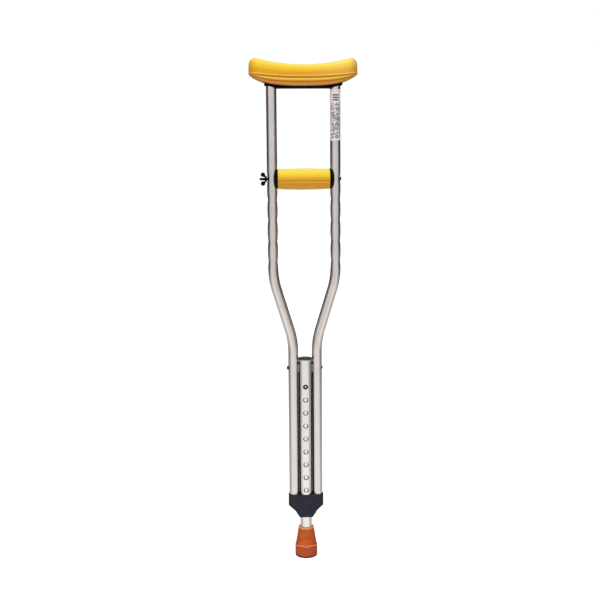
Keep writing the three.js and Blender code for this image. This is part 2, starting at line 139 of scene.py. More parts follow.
class Finish:
    """A surface finish, as a node material."""

    def __init__(self, name, tree=None):
        if tree is None:
            self.material = bpy.data.materials.new(name)
            self.material.use_nodes = True
            tree = self.material.node_tree
        self.tree = tree
        tree.nodes.clear()

    def node(self, kind, settings=None, sockets=None, out=0):
        """Adds a node, makes its settings, then fills or links its sockets."""
        made = self.tree.nodes.new("ShaderNode" + kind)
        for key, value in (settings or {}).items():
            setattr(made, key, value)
        for key, value in (sockets or {}).items():
            if isinstance(value, Signal):
                self.tree.links.new(value.socket, made.inputs[key])
            else:
                made.inputs[key].default_value = value
        return Signal(self, made.outputs[out])

    def maths(self, operation, *values):
        return self.node("Math", {"operation": operation}, dict(enumerate(values)))

    def mix(self, share, first, second):
        return self.node("Mix", {"data_type": "RGBA"}, {0: share, 6: first, 7: second}, out=2)

    def stored(self, name):
        return self.node("Attribute", {"attribute_name": name}, out=1)

    def here(self):
        """The point on the piece, in metres, in the crutch's own frame."""
        return self.node("TexCoord", out=3)

    def parts(self, vector):
        split = self.node("SeparateXYZ", sockets={0: vector})
        return [Signal(self, output) for output in split.socket.node.outputs]

    def scaled(self, vector, x, y, z):
        return self.node("VectorMath", {"operation": "MULTIPLY"}, {0: vector, 1: (x, y, z)})

    def grain(self, vector, scale=1.0, detail=2.0, rough=0.5):
        sockets = {"Vector": vector, "Scale": scale, "Detail": detail, "Roughness": rough}
        return self.node("TexNoise", None, sockets)

    def cells(self, vector, scale):
        return self.node("TexVoronoi", None, {"Vector": vector, "Scale": scale})

    def shade(self, colour, roughness, relief=None, depth=0.1 * MM, **uniform):
        """Ends the material in a principled shader. uniform sets its sockets, as in Metallic=1.0."""
        sockets = {"Base Color": colour, "Roughness": roughness}
        sockets.update({name.replace("_", " "): value for name, value in uniform.items()})
        if relief is not None:
            bump = {"Strength": 1.0, "Distance": depth, "Height": relief}
            sockets["Normal"] = self.node("Bump", None, bump)
        surface = self.node("BsdfPrincipled", None, sockets)
        self.node_output(surface)
        return self

    def node_output(self, surface):
        made = self.tree.nodes.new("ShaderNodeOutputMaterial")
        self.tree.links.new(surface.socket, made.inputs["Surface"])


def skin(name, rows, ring=False):
    """A closed mesh over rows of points, each row a loop. ring joins the last row to the first."""
    rows = np.asarray(rows, float)
    count, around = rows.shape[:2]
    faces = []
    for i in range(count if ring else count - 1):
        near = i * around
        far = (i + 1) % count * around
        for j in range(around):
            k = (j + 1) % around
            faces.append((near + j, near + k, far + k, far + j))
    if not ring:
        for cap in (tuple(range(around))[::-1], tuple(range((count - 1) * around, count * around))):
            if np.ptp(rows.reshape(-1, 3)[list(cap)], axis=0).max() > SAME_POINT:
                faces.append(cap)
    mesh = bpy.data.meshes.new(name)
    mesh.from_pydata(rows.reshape(-1, 3).tolist(), [], faces)
    work = bmesh.new()
    work.from_mesh(mesh)
    bmesh.ops.remove_doubles(work, verts=work.verts, dist=SAME_POINT)
    bmesh.ops.recalc_face_normals(work, faces=work.faces)
    if work.calc_volume(signed=True) < 0:
        bmesh.ops.reverse_faces(work, faces=work.faces)
    work.to_mesh(mesh)
    work.free()
    piece = bpy.data.objects.new(name, mesh)
    bpy.context.scene.collection.objects.link(piece)
    return piece


def turned(name, profile, axis="Z", centre=(0, 0), sides=96, ring=False):
    """A piece turned about an axis through centre. The profile lists (radius, place along the axis)."""
    turn = np.linspace(0, 2 * math.pi, sides, endpoint=False)
    radius, place = np.array(profile, float).T
    first = radius[:, None] * np.cos(turn) + centre[0]
    second = radius[:, None] * np.sin(turn) + centre[1]
    along = np.repeat(place[:, None], sides, axis=1)
    order = {"X": (along, first, second), "Y": (first, along, second), "Z": (first, second, along)}
    return skin(name, np.stack(order[axis], axis=-1), ring)


def rod(axis, radius, low, high, centre=(0, 0), sides=48):
    return turned("rod", [(0, low), (radius, low), (radius, high), (0, high)], axis, centre, sides)


def settle(piece):
    """Applies the piece's modifiers."""
    graph = bpy.context.evaluated_depsgraph_get()
    made = bpy.data.meshes.new_from_object(piece.evaluated_get(graph))
    piece.modifiers.clear()
    piece.data = made


def shaped(piece, *tools, operation="DIFFERENCE", solver="MANIFOLD"):
    """Cuts the tools out of the piece, or joins or intersects them with it, and removes them."""
    for tool in tools:
        change = piece.modifiers.new("shape", "BOOLEAN")
        change.operation = operation
        change.solver = solver
        change.object = tool
    settle(piece)
    for tool in tools:
        bpy.data.objects.remove(tool)


def fitted(piece, finish, body, slot, *nodes, crease=35):
    """Gives the piece its finish, and fixes it to its body in place of the CAD nodes."""
    piece.data.shade_smooth()
    piece.data.set_sharp_from_angle(angle=math.radians(crease))
    piece.data.materials.clear()
    piece.data.materials.append(finish.material)
    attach(piece, body)
    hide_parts(*nodes)


def points_of(piece):
    return np.array([v.co for v in piece.data.vertices], float).reshape(-1, 3)


def store(piece, name, vectors):
    """Keeps a vector for each point of the piece, for its finish to use."""
    layer = piece.data.attributes.new(name, "FLOAT_VECTOR", "POINT")
    layer.data.foreach_set("vector", np.asarray(vectors, np.float32).ravel())


def side_route():
    """The right tube's centre line, from the top to the bottom, as x and z."""
    lean = math.atan((SPREAD - CLOSE) / (TOP_BEND_Z - LOW_BEND_Z))
    reach = BEND_RADIUS * math.tan(lean / 2)
    back = np.array([reach * math.sin(lean), reach * math.cos(lean)])
    top = np.array([SPREAD, TOP_BEND_Z])
    low = np.array([CLOSE, LOW_BEND_Z])
    up = np.array([0, reach])
    made = []

    def straight(start, end, step):
        count = max(2, round(np.linalg.norm(end - start) / step))
        made.extend(start + (end - start) * i / count for i in range(count))

    def bend(start, corner, end, count=18):
        for s in np.arange(count) / count:
            made.append((1 - s) ** 2 * start + 2 * s * (1 - s) * corner + s * s * end)

    straight(np.array([SPREAD, SIDE_TOP_Z]), top + up, 2.2 * MM)
    bend(top + up, top, top - back)
    straight(top - back, low + back, 5 * MM)
    bend(low + back, low, low - up)
    straight(low - up, np.array([CLOSE, SIDE_END_Z]), 6 * MM)
    made.append(np.array([CLOSE, SIDE_END_Z]))
    return np.array(made)


def side_tube(name, side):
    route = side_route()
    slope = np.gradient(route, axis=0)
    slope /= np.linalg.norm(slope, axis=1)[:, None]
    outward = np.stack([-slope[:, 1], slope[:, 0]], axis=1)
    turn = np.linspace(0, 2 * math.pi, 72, endpoint=False)
    from_hole = SIDE_R * np.minimum(turn % math.pi, math.pi - turn % math.pi)
    dish = np.zeros((len(route), len(turn)))
    for hole in GRIP_HOLES:
        away = from_hole[None, :] ** 2 + (route[:, 1:] - hole) ** 2
        dish += DISH_DEPTH * np.exp(-away / (2 * DISH_SIZE ** 2))

    def layer(radius):
        spoke = (radius - dish) * np.cos(turn)
        return np.stack([
            side * (route[:, :1] + spoke * outward[:, :1]),
            (radius - dish) * np.sin(turn),
            route[:, 1:] + spoke * outward[:, 1:],
        ], axis=-1)

    tube = skin(name, np.concatenate([layer(SIDE_R), layer(SIDE_R - WALL)[::-1]]), ring=True)
    x = side * SPREAD
    tools = [rod("X", GRIP_HOLE_R, x - 15 * MM, x + 15 * MM, (0, z)) for z in GRIP_HOLES]
    low_x = side * CLOSE
    tools.append(rod("X", JUNCTION_HOLE_R, low_x - 15 * MM, low_x + 15 * MM, (0, JUNCTION_Z)))
    tools.append(rod("X", BUSH_HOLE_R, side * 10 * MM, side * 18 * MM, (0, JUNCTION_Z)))
    tools.append(rod("Y", RIVET_HOLE_R, -20 * MM, 20 * MM, (x, RIVET_Z)))
    shaped(tube, *tools)

    # where each point would lie if the tube had never been bent, so that its draw lines follow it
    at = points_of(tube)
    place = np.stack([side * at[:, 0], at[:, 2]], axis=1)
    nearest = np.array([((route - p) ** 2).sum(axis=1).argmin() for p in place])
    run = np.concatenate([[0], np.cumsum(np.linalg.norm(np.diff(route, axis=0), axis=1))])
    gap = place - route[nearest]
    store(tube, "unbent", np.stack([
        (gap * outward[nearest]).sum(axis=1) + side * 0.2,
        at[:, 1],
        run[nearest] + (gap * slope[nearest]).sum(axis=1),
    ], axis=1))
    return tube


HEIGHT_PITCH = 25.4 * MM
LOWEST_HOLE_Z = 133.5 * MM
HOLE_EDGE_R = 4.15 * MM
GROOVE_X = 12.76 * MM
GROOVE_HALF = 3.7 * MM
GROOVE_LOW = 92 * MM
GROOVE_HIGH = 386 * MM


def drawn_aluminium(name, pale, deep, roughness, drilled=False, shaded_grooves=True):
    """Satin anodised tube: draw lines, clouds and short scuffs. shaded_grooves adds painted shade, near
    black, in the grooves between tubes, and drilled adds painted shade, a dark ring round the edge of each
    height hole."""
    metal = Finish(name)
    tube = metal.stored("unbent")
    lines = metal.grain(metal.scaled(tube, 1500, 1500, 14), detail=3)
    bands = metal.grain(metal.scaled(tube, 260, 260, 5), detail=2)
    clouds = metal.grain(tube, 38, 3)
    scuffs = metal.grain(metal.scaled(tube, 260, 260, 1300), detail=4, rough=0.7).step(0.66, 0.74)
    scuffs = scuffs * metal.grain(tube, 60).step(0.5, 0.62)
    tone = bands * 0.45 + clouds * 0.35 + lines * 0.2
    colour = metal.mix(tone.step(0.3, 0.7), deep, pale)
    colour = metal.mix(scuffs * 0.35, colour, (0.9, 0.88, 0.87, 1))
    rough = roughness + (lines - 0.5) * 0.12 + (clouds - 0.5) * 0.14 + scuffs * 0.12
    metallic = 1.0
    x, y, z = metal.parts(metal.here())
    if shaded_grooves:
        # painted shade: near black, not metallic and rougher in the grooves between the tubes
        groove = abs(abs(x) - GROOVE_X).step(GROOVE_HALF, 0.72 * GROOVE_HALF)
        groove = groove * z.step(GROOVE_LOW - 2 * MM, GROOVE_LOW + 2 * MM)
        groove = groove * z.step(GROOVE_HIGH + 4 * MM, GROOVE_HIGH - 4 * MM)
        colour = metal.mix(groove * 0.98, colour, (0.004, 0.004, 0.005, 1))
        rough = rough + groove * 0.55
        metallic = 1 - groove
    if drilled:
        # painted shade: a dark ring in the edge of each height hole, only in front and from the lowest to the
        # top one
        step = (z - LOWEST_HOLE_Z + HEIGHT_PITCH / 2) / HEIGHT_PITCH
        up = (metal.maths("FRACT", step) - 0.5) * HEIGHT_PITCH
        away = (x * x + up * up) ** 0.5
        hole_rim_shade = (1 - abs(away - HOLE_EDGE_R) / (1.05 * MM)).step(0.0, 0.4) * y.step(-9.5 * MM, -10.5 * MM)
        hole_rim_shade = hole_rim_shade * z.step(129 * MM, 130 * MM) * z.step(343 * MM, 342 * MM)
        hole_rim_shade = hole_rim_shade * (0.55 + clouds * 0.9) * (0.6 + abs(x) / (9 * MM))
        colour = metal.mix(hole_rim_shade, colour, (0.02, 0.017, 0.015, 1))
    relief = lines * 0.5 + bands * 0.2 + scuffs * 0.5
    return metal.shade(colour, rough, relief, 0.012 * MM, Metallic=metallic, Specular_IOR_Level=0.1)


side_metal = drawn_aluminium("side_tube_aluminium", (0.87, 0.80, 0.765, 1), (0.75, 0.69, 0.66, 1), 0.27)
for side_name, side in SIDES:
    tube = side_tube("tube_" + side_name, side)
    fitted(tube, side_metal, "frame", "tube_aluminium", side_name + "_side_tube")

# ---- Centre tube ----
# The outer tube of the height adjuster, 1 inch drawn aluminium, bolted between the side tubes at the top
# and held in the ferrule at the bottom. Nine holes at 1 inch are drilled in its front wall and deburred.

CENTRE_R = 12.7 * MM
CENTRE_TOP_Z = 388 * MM
CENTRE_END_Z = 92.5 * MM
BUTTON_Z = 336.7 * MM
HEIGHT_HOLE_R = 4 * MM
WORN_PALE = (0.91, 0.885, 0.83, 1)
WORN_DEEP = (0.81, 0.79, 0.75, 1)


def eased(profile, size, closed=False, steps=4):
    """The profile with its corners rounded off, each curve starting size from the corner."""
    points = [np.array(p, float) for p in profile]
    made = []
    for i, corner in enumerate(points):
        if not closed and i in (0, len(points) - 1):
            made.append(corner)
            continue
        before = points[i - 1] - corner
        after = points[(i + 1) % len(points)] - corner
        start = corner + before * min(size / np.linalg.norm(before), 0.45)
        end = corner + after * min(size / np.linalg.norm(after), 0.45)
        for s in np.linspace(0, 1, steps):
            made.append((1 - s) ** 2 * start + 2 * s * (1 - s) * corner + s * s * end)
    return made


def straight_tube(name, radius, low, high, step=6 * MM, sides=128):
    """A plain tube about the crutch's middle, with rows close enough for clean holes."""
    edge = 0.25 * MM
    stops = np.linspace(low + edge, high - edge, round((high - low) / step))
    outer = [(radius - edge, low)] + [(radius, z) for z in stops] + [(radius - edge, high)]
    inner = [(radius - WALL + edge, high)] + [(radius - WALL, z) for z in stops[::-1]]
    return turned(name, outer + inner + [(radius - WALL + edge, low)], sides=sides, ring=True)


def deburred_hole(z):
    """The cutter for one height hole: a drill, with a shallow flare where it breaks the surface."""
    flare = 0.35 * MM
    front = -CENTRE_R
    profile = [
        (0, front + 5 * MM), (HEIGHT_HOLE_R, front + 5 * MM), (HEIGHT_HOLE_R, front + 0.5 * MM),
        (HEIGHT_HOLE_R + flare, front), (HEIGHT_HOLE_R + 4 * flare, front - 2 * MM), (0, front - 2 * MM),
    ]
    return turned("drill", profile, "Y", (0, z), 64)


centre_tube = straight_tube("tube_centre", CENTRE_R, CENTRE_END_Z, CENTRE_TOP_Z, 3 * MM)
height_holes = [deburred_hole(BUTTON_Z - i * HEIGHT_PITCH) for i in range(9)]
shaped(centre_tube, *height_holes, rod("X", BUSH_HOLE_R, -18 * MM, 18 * MM, (0, JUNCTION_Z)))
store(centre_tube, "unbent", points_of(centre_tube))
centre_metal = drawn_aluminium("centre_tube_aluminium", WORN_PALE, WORN_DEEP, 0.24, drilled=True)
fitted(centre_tube, centre_metal, "frame", "centre_aluminium", "centre_tube")

# ---- Centre tube plug ----
# A black moulded cap pressed into the top of the centre tube, with a raised rim round a shallow dish and
# a gate mark in the middle of it.


def moulded(name, deep, pale, roughness, grain_size=0.5 * MM, depth=0.03 * MM, shine=0.25):
    """Injection moulded plastic: an even spark-eroded grain, faint flow clouds and rubbed patches."""
    plastic = Finish(name)
    at = plastic.here()
    grain = plastic.grain(at, 1 / grain_size, 3)
    flow = plastic.grain(plastic.scaled(at, 60, 60, 110), detail=3)
    rubbed = plastic.grain(at, 45, 4, 0.6).step(0.55, 0.75)
    colour = plastic.mix(flow.step(0.3, 0.75) * 0.6 + rubbed * 0.4, deep, pale)
    rough = roughness + (grain - 0.5) * 0.15 - rubbed * 0.1
    return plastic.shade(colour, rough, grain + flow * 0.4, depth, Specular_IOR_Level=shine)


black = moulded("black_moulding", (0.0016, 0.0016, 0.0018, 1), (0.0030, 0.0030, 0.0034, 1), 0.6, shine=0.04)
plug_grey = moulded("plug_moulding", (0.012, 0.013, 0.014, 1), (0.05, 0.053, 0.055, 1), 0.3, shine=0.9)
# radius and height above the tube's end, in millimetres
plug_steps = [
    (0, -3), (9.75, -3), (9.75, -8), (11.35, -8), (11.35, 0.1), (12.8, 0.1), (12.8, 2.9), (10.2, 2.9),
    (9.6, 1.5), (2.2, 1.9), (1.9, 2.3), (1.2, 2.3), (1.0, 2.0), (0, 2.0),
]
plug_profile = [(radius * MM, CENTRE_TOP_Z + up * MM) for radius, up in plug_steps]
plug = turned("plug", eased(plug_profile, 0.5 * MM))
fitted(plug, plug_grey, "frame", "black_plastic", "centre_tube_plug", crease=50)

# ---- Junction ----
# One blackened bolt clamps the three tubes together, with a domed head on the right and a plain hexagon
# nut on the left. A grey moulded saddle fills each groove there and keeps the tubes apart.

JUNCTION_FACE = 31.97 * MM
BOLT_R = 2.5 * MM
NUT_BORE_R = 2.65 * MM
FIT = 0.15 * MM


def plated(name, deep, pale, roughness, metallic=1.0, rubbed=None):
    """Turned and plated steel: tool marks, small tarnish spots and handling wear. rubbed is the height of
    a button whose middle gets a painted highlight, a pale disc in its colour."""
    steel = Finish(name)
    at = steel.here()
    marks = steel.grain(steel.scaled(at, 4200, 900, 900), detail=2)
    spots = steel.cells(at, 700).step(0.28, 0.08) * steel.grain(at, 260, 3).step(0.5, 0.7)
    wear = steel.grain(at, 320, 5, 0.65).step(0.48, 0.72)
    colour = steel.mix(wear, deep, pale)
    colour = steel.mix(spots * 0.5, colour, (0.05, 0.035, 0.025, 1))
    if rubbed:
        x, _, z = steel.parts(at)
        # painted highlight: a pale disc in the middle of the button
        away = (x * x + (z - rubbed - 0.7 * MM) ** 2.0) ** 0.5
        colour = steel.mix(away.step(2.0 * MM, 0.9 * MM), colour, (0.85, 0.83, 0.80, 1))
    rough = roughness + (marks - 0.5) * 0.15 + spots * 0.3
    return steel.shade(colour, rough, marks * 0.6 + wear * 0.4, 0.02 * MM, Metallic=metallic)


def hoop(x, radius, turn):
    """A ring of points round the X axis."""
    return np.stack([np.full(len(turn), x), radius * np.cos(turn), radius * np.sin(turn)], axis=1)


def threaded(name, radius, low, high, pitch, depth, head):
    """A bolt along X from low, the threaded end, to high, where the head's profile begins."""
    turn = np.linspace(0, 2 * math.pi, 48, endpoint=False)
    place = np.linspace(low, high, round((high - low) / pitch * 8))
    wave = np.abs(((place[:, None] / pitch - turn / (2 * math.pi)) % 1) * 2 - 1)
    lead = np.clip((place[:, None] - low) / (1.2 * pitch), 0, 1)
    spread = radius - depth * wave - 0.45 * MM * (1 - lead)
    rows = [hoop(low, 0.0, turn)]
    rows += [hoop(x, r, turn) for x, r in zip(place, spread)]
    rows += [hoop(x, r, turn) for r, x in head]
    return skin(name, rows)


def moved(piece, z):
    piece.data.transform(Matrix.Translation((0, 0, z)))
    return piece


def domed_head(radius, face, height):
    """From the shank out over a low dome, as radius and place along the bolt."""
    made = [(BOLT_R, face), (radius - 0.3 * MM, face), (radius, face + 0.25 * MM)]
    for s in np.linspace(0.1, 1, 9) * math.pi / 2:
        made.append((radius * math.cos(s) + 1e-6, face + height * (0.15 + 0.85 * math.sin(s))))
    return made


dark_steel = plated("blackened_steel", (0.012, 0.011, 0.012, 1), (0.05, 0.048, 0.046, 1), 0.42, 0.9)
bright_steel = plated("zinc_plated_steel", (0.52, 0.51, 0.50, 1), (0.70, 0.69, 0.67, 1), 0.24)
bolt_end = -JUNCTION_FACE - 2.7 * MM
shank = [(BOLT_R, -JUNCTION_FACE + 3 * MM)] + domed_head(3.3 * MM, JUNCTION_FACE, 1.4 * MM)
thread_end = -JUNCTION_FACE + 2 * MM
junction_bolt = threaded("bolt_junction", BOLT_R, bolt_end, thread_end, 0.8 * MM, 0.35 * MM, shank)
fitted(moved(junction_bolt, JUNCTION_Z), dark_steel, "frame", "dark_steel", "junction_bolt", crease=40)

nut_low = -JUNCTION_FACE - 2.2 * MM
nut_end = [(0, -JUNCTION_FACE)]
flats = [(0, nut_low), (3.9 * MM, nut_low), (3.9 * MM, -JUNCTION_FACE)]
chamfer = [(0, nut_low), (3.2 * MM, nut_low), (4 * MM, nut_low + 0.5 * MM), (4 * MM, -JUNCTION_FACE)]
nut = turned("nut_junction", flats + nut_end, "X", sides=6)
shaped(nut, turned("chamfer", chamfer + nut_end, "X", sides=64), operation="INTERSECT")
shaped(nut, rod("X", NUT_BORE_R, nut_low - MM, -JUNCTION_FACE + MM))
fitted(moved(nut, JUNCTION_Z), dark_steel, "frame", "dark_steel", "junction_nut")


def plate(name, outline, low, high, axis="Y"):
    """An outline given a thickness from low to high. It is in X and Z for axis Y, and in X and Y for Z."""
    rows = []
    for level in (low, high):
        rows.append([(u, level, v) if axis == "Y" else (u, v, level) for u, v in outline])
    return skin(name, rows)


def rounded(piece, width, segments):
    edge = piece.modifiers.new("round", "BEVEL")
    edge.width = width
    edge.segments = segments
    edge.limit_method = "ANGLE"
    edge.angle_limit = math.radians(30)
    edge.use_clamp_overlap = True
    settle(piece)


def box_outline(low_x, high_x, low_y, high_y):
    return [(low_x, low_y), (high_x, low_y), (high_x, high_y), (low_x, high_y)]


def saddle(name, side):
    low = JUNCTION_Z - 7.6 * MM
    high = JUNCTION_Z + 7.6 * MM
    made = plate(name, box_outline(9 * MM, 19 * MM, -6.2 * MM, 6.2 * MM), low, high, "Z")
    rounded(made, 0.6 * MM, 2)
    slot = plate("slot", box_outline(8 * MM, 20 * MM, -2.6 * MM, 2.6 * MM), low - MM, high + MM, "Z")
    shaped(
        made, slot,
        rod("Z", CENTRE_R + FIT, low - MM, high + MM, sides=128),
        rod("Z", SIDE_R + FIT, low - MM, high + MM, (CLOSE, 0), 96),
    )
    shaped(made, rod("X", 3.35 * MM, 11.2 * MM, 14.6 * MM, (0, JUNCTION_Z), 48), operation="UNION")
    shaped(made, rod("X", NUT_BORE_R, 8 * MM, 20 * MM, (0, JUNCTION_Z)))
    if side < 0:
        made.data.transform(Matrix.Rotation(math.pi, 4, "Z"))
    return made


saddle_grey = moulded("saddle_moulding", (0.16, 0.163, 0.168, 1), (0.26, 0.264, 0.268, 1), 0.42, shine=0.3)
for side_name, side in SIDES:
    spacer = saddle("saddle_" + side_name, side)
    fitted(spacer, saddle_grey, "frame", "grey_plastic", side_name + "_saddle_spacer")

# ---- Bottom ferrule ----
# One navy black moulding holds the lower ends of all three tubes and guides the extension. It is a flat
# oval box at the top, slopes in to a squarer neck, and ends in a smaller rounded box round the extension.


def hull_outline(circles, sides=192):
    """Radius by angle of the tight outline round some circles, each (x, y, radius), in both quadrants."""
    turn = np.linspace(0, 2 * math.pi, sides, endpoint=False)
    facing = np.linspace(0, 2 * math.pi, 1441)
    reaches = [x * np.abs(np.cos(facing)) + y * np.abs(np.sin(facing)) + r for x, y, r in circles]
    reach = np.max(reaches, axis=0)
    lean = np.cos(facing[None, :] - turn[:, None])
    with np.errstate(divide="ignore", invalid="ignore"):
        far = np.where(lean > 0.02, reach[None, :] / lean, 1e3)
    return turn, far.min(axis=1)


def ferrule_ring(z, box, inset):
    """The outline at z, in millimetres. box goes from 0, an oval round three tubes, through 1, the neck,
    to 2, the lower end."""
    oval = hull_outline([(22.345, 0, 11.325 - inset), (0, 0, 14.7 - inset)])
    neck = hull_outline([(13.6, 8.6, 5.0 - inset)])
    end = hull_outline([(9.6, 9.0, 4.0 - inset)])
    if box <= 1:
        radius = oval[1] * (1 - box) + neck[1] * box
    else:
        radius = neck[1] * (2 - box) + end[1] * (box - 1)
    turn = oval[0]
    return np.stack([radius * np.cos(turn), radius * np.sin(turn), np.full(len(turn), z)], axis=1) * MM


def ferrule_rows():
    # height, share from oval through neck to end, and how far the edge is rounded in, in millimetres
    levels = [
        (79.4, 2, 0.5), (79.55, 1.98, 0.15), (79.9, 1.95, 0), (83.6, 1.5, 0), (86.9, 1.07, 0),
        (87.6, 0.98, 0), (88.4, 0.92, 0), (99.6, 0.09, 0), (100.6, 0.02, 0), (101.6, 0, 0), (123.2, 0, 0),
        (123.9, 0, 0.12), (124.2, 0, 0.6),
    ]
    heights, shares, insets = np.array(levels).T
    wanted = np.unique(np.concatenate([heights, np.arange(80, 123, 1.5)]))
    return [ferrule_ring(z, np.interp(z, heights, shares), np.interp(z, heights, insets)) for z in wanted]


ferrule = skin("ferrule", ferrule_rows())
seat_gap = 0.4 * MM
side_bores = [rod("Z", SIDE_R + FIT, SIDE_END_Z - seat_gap, 130 * MM, (x, 0), 96) for x in (-CLOSE, CLOSE)]
centre_bore = rod("Z", CENTRE_R + FIT, CENTRE_END_Z - seat_gap, 130 * MM, sides=128)
shaped(ferrule, *side_bores, centre_bore, rod("Z", 11.4 * MM, 70 * MM, 130 * MM, sides=128))
ferrule_navy = moulded(
    "ferrule_moulding", (0.017, 0.0155, 0.029, 1), (0.026, 0.025, 0.041, 1), 0.5,
    grain_size=0.7 * MM, depth=0.05 * MM, shine=0.22,
)
fitted(ferrule, ferrule_navy, "frame", "ferrule_plastic", "bottom_ferrule", crease=28)

# ---- Extension tube ----
# The inner tube that sets the height, 7/8 inch drawn aluminium. It slides in the centre tube, and one
# hole near its top lets the snap button through.

EXTENSION_R = 11.1 * MM
extension = straight_tube("tube_extension", EXTENSION_R, 11.6 * MM, 366 * MM, 4 * MM)
shaped(extension, rod("Y", HEIGHT_HOLE_R, -15 * MM, -7 * MM, (0, BUTTON_Z), 64))
store(extension, "unbent", points_of(extension))
inner_metal = drawn_aluminium("extension_tube_aluminium", WORN_PALE, WORN_DEEP, 0.24, shaded_grooves=False)
fitted(extension, inner_metal, "extension", "centre_aluminium", "extension_tube")

# ---- Rubber tip ----
# A flared foot of orange brown rubber, moulded with a sharp ridge round the top of its base that dips to
# a point at the front and back, and with ring treads underneath. It is pushed onto the extension tube.

# these profiles are in millimetres: up the outside and down into the bore, and across the treads
FOOT_R = 21.3
RIDGE_Z = 20.6
tip_outer = [
    (FOOT_R, 0.5), (FOOT_R, 12.0), (FOOT_R, 20.4), (20.6, 22.2), (19.9, 24.6), (19.3, 28.5), (18.6, 32.4),
    (17.6, 38.5), (16.6, 45.0), (15.4, 52.0), (14.7, 56.4), (14.5, 57.4), (14.1, 57.9), (13.5, 58.0),
    (12.6, 57.95), (11.9, 57.6), (11.4, 57.0), (11.3, 55.5), (11.3, 10.2), (10.9, 10.0), (0, 10.0),
]
tip_under = [
    (0, 0.25), (5.6, 0.2), (6.0, 0.0), (6.5, 0.25), (6.8, 1.4), (8.4, 1.4), (8.8, 0.2), (9.2, 0.0),
    (12.4, 0.0), (12.9, 0.25), (13.2, 1.4), (15.0, 1.4), (15.4, 0.25), (15.8, 0.0), (20.8, 0.0),
    (21.2, 0.12), (FOOT_R, 0.5),
]


def fine(profile, step):
    """The profile with points added so that none are further apart than step."""
    made = []
    for (r0, z0), (r1, z1) in zip(profile, profile[1:]):
        count = max(1, math.ceil(math.hypot(r1 - r0, z1 - z0) / step))
        made.extend((r0 + (r1 - r0) * i / count, z0 + (z1 - z0) * i / count) for i in range(count))
    return made + [profile[-1]]


def hill(distance, width):
    """1 in the middle, falling smoothly to nearly nothing at twice the width."""
    return np.exp(-(distance / width) ** 2)


def ridge_rise(turn):
    """The ridge between base and cone arches up at the front and back, with a V dip in its middle."""
    return 4.2 * np.sin(turn) ** 2 - 3.0 * np.clip(1 - np.abs(np.cos(turn)) / 0.32, 0, 1)


def tip_rows():
    profile = np.array(fine(tip_under, 2.5) + fine(tip_outer, 1.0)[1:])
    turn = np.linspace(0, 2 * math.pi, 144, endpoint=False)
    rows = []
    for r, z in profile:
        outside = 1.0 if r > 12 else 0.0
        rise = outside * hill(z - RIDGE_Z, 6.5) * ridge_rise(turn)
        bulge = outside * 0.35 * hill(z - RIDGE_Z, 0.8)
        wide = min(r + bulge, FOOT_R)
        rows.append(np.stack([wide * np.cos(turn), wide * np.sin(turn), z + rise], axis=1) * MM)
    return rows


def store_number(piece, name, numbers):
    """Keeps one number for each point of the piece, as the first part of a vector."""
    store(piece, name, np.stack([numbers, 0 * numbers, 0 * numbers], axis=1))


tip = skin("foot_rubber", tip_rows())
at = points_of(tip) / MM
above = at[:, 2] - RIDGE_Z - ridge_rise(np.arctan2(at[:, 1], at[:, 0]))
store_number(tip, "ridge", above * MM)
rubber = Finish("tip_rubber_moulding")
at = rubber.here()
_, _, height = rubber.parts(at)
mottle = rubber.grain(at, 130, 4, 0.6)
clouds = rubber.grain(at, 32, 3)
pits = rubber.cells(at, 1100).step(0.30, 0.10) * rubber.grain(at, 240).step(0.45, 0.6)
colour = rubber.mix(mottle.step(0.3, 0.7), linear(182, 76, 22), linear(208, 94, 30))
colour = rubber.mix(clouds.step(0.35, 0.7) * 0.5, colour, linear(176, 74, 30))
# painted highlight: the top rim is lightened
rim = height.step(54.4 * MM, 57.0 * MM)
colour = rubber.mix(rim * 0.75, colour, linear(238, 178, 116))
# painted highlight along the ridge line, and a darker band below the ridge
from_ridge, _, _ = rubber.parts(rubber.stored("ridge"))
colour = rubber.mix((1 - abs(from_ridge) / (1.4 * MM)).step(0.0, 0.6) * 0.95, colour, linear(250, 158, 96))
colour = rubber.mix(from_ridge.step(0.3 * MM, -0.8 * MM) * 0.4, colour, linear(172, 68, 30))
# darker and rougher towards the bottom edge
darker_bottom = height.step(4.4 * MM, 2.2 * MM) * (0.7 + mottle * 0.5)
colour = rubber.mix(darker_bottom, colour, linear(70, 30, 18))
rough = 0.56 + (mottle - 0.5) * 0.2 + darker_bottom * 0.2
rubber.shade(colour, rough, mottle * 0.5 + clouds * 0.4 - pits * 0.3, 0.16 * MM, Specular_IOR_Level=0.3)
fitted(tip, rubber, "extension", "tip_rubber", "rubber_tip", crease=32)

# a steel disc lies in the bottom of the tip and stops the tube's edge from cutting through it
disc_profile = [(0, 10.2 * MM), (10.9 * MM, 10.2 * MM), (10.9 * MM, 11.4 * MM), (0, 11.4 * MM)]
disc = turned("disc_in_tip", eased(disc_profile, 0.3 * MM))
fitted(disc, bright_steel, "extension", "bright_steel", "tip_disc")

# ---- Snap button and clip ----
# A U-shaped clip of spring steel strip stands inside the extension tube. A plated button with a domed
# end is riveted to its front leg, and comes out through the extension and a hole of the centre tube.

LEG_Y = 8.95 * MM
STRIP = 0.6 * MM
CLIP_BEND_Z = 305 * MM


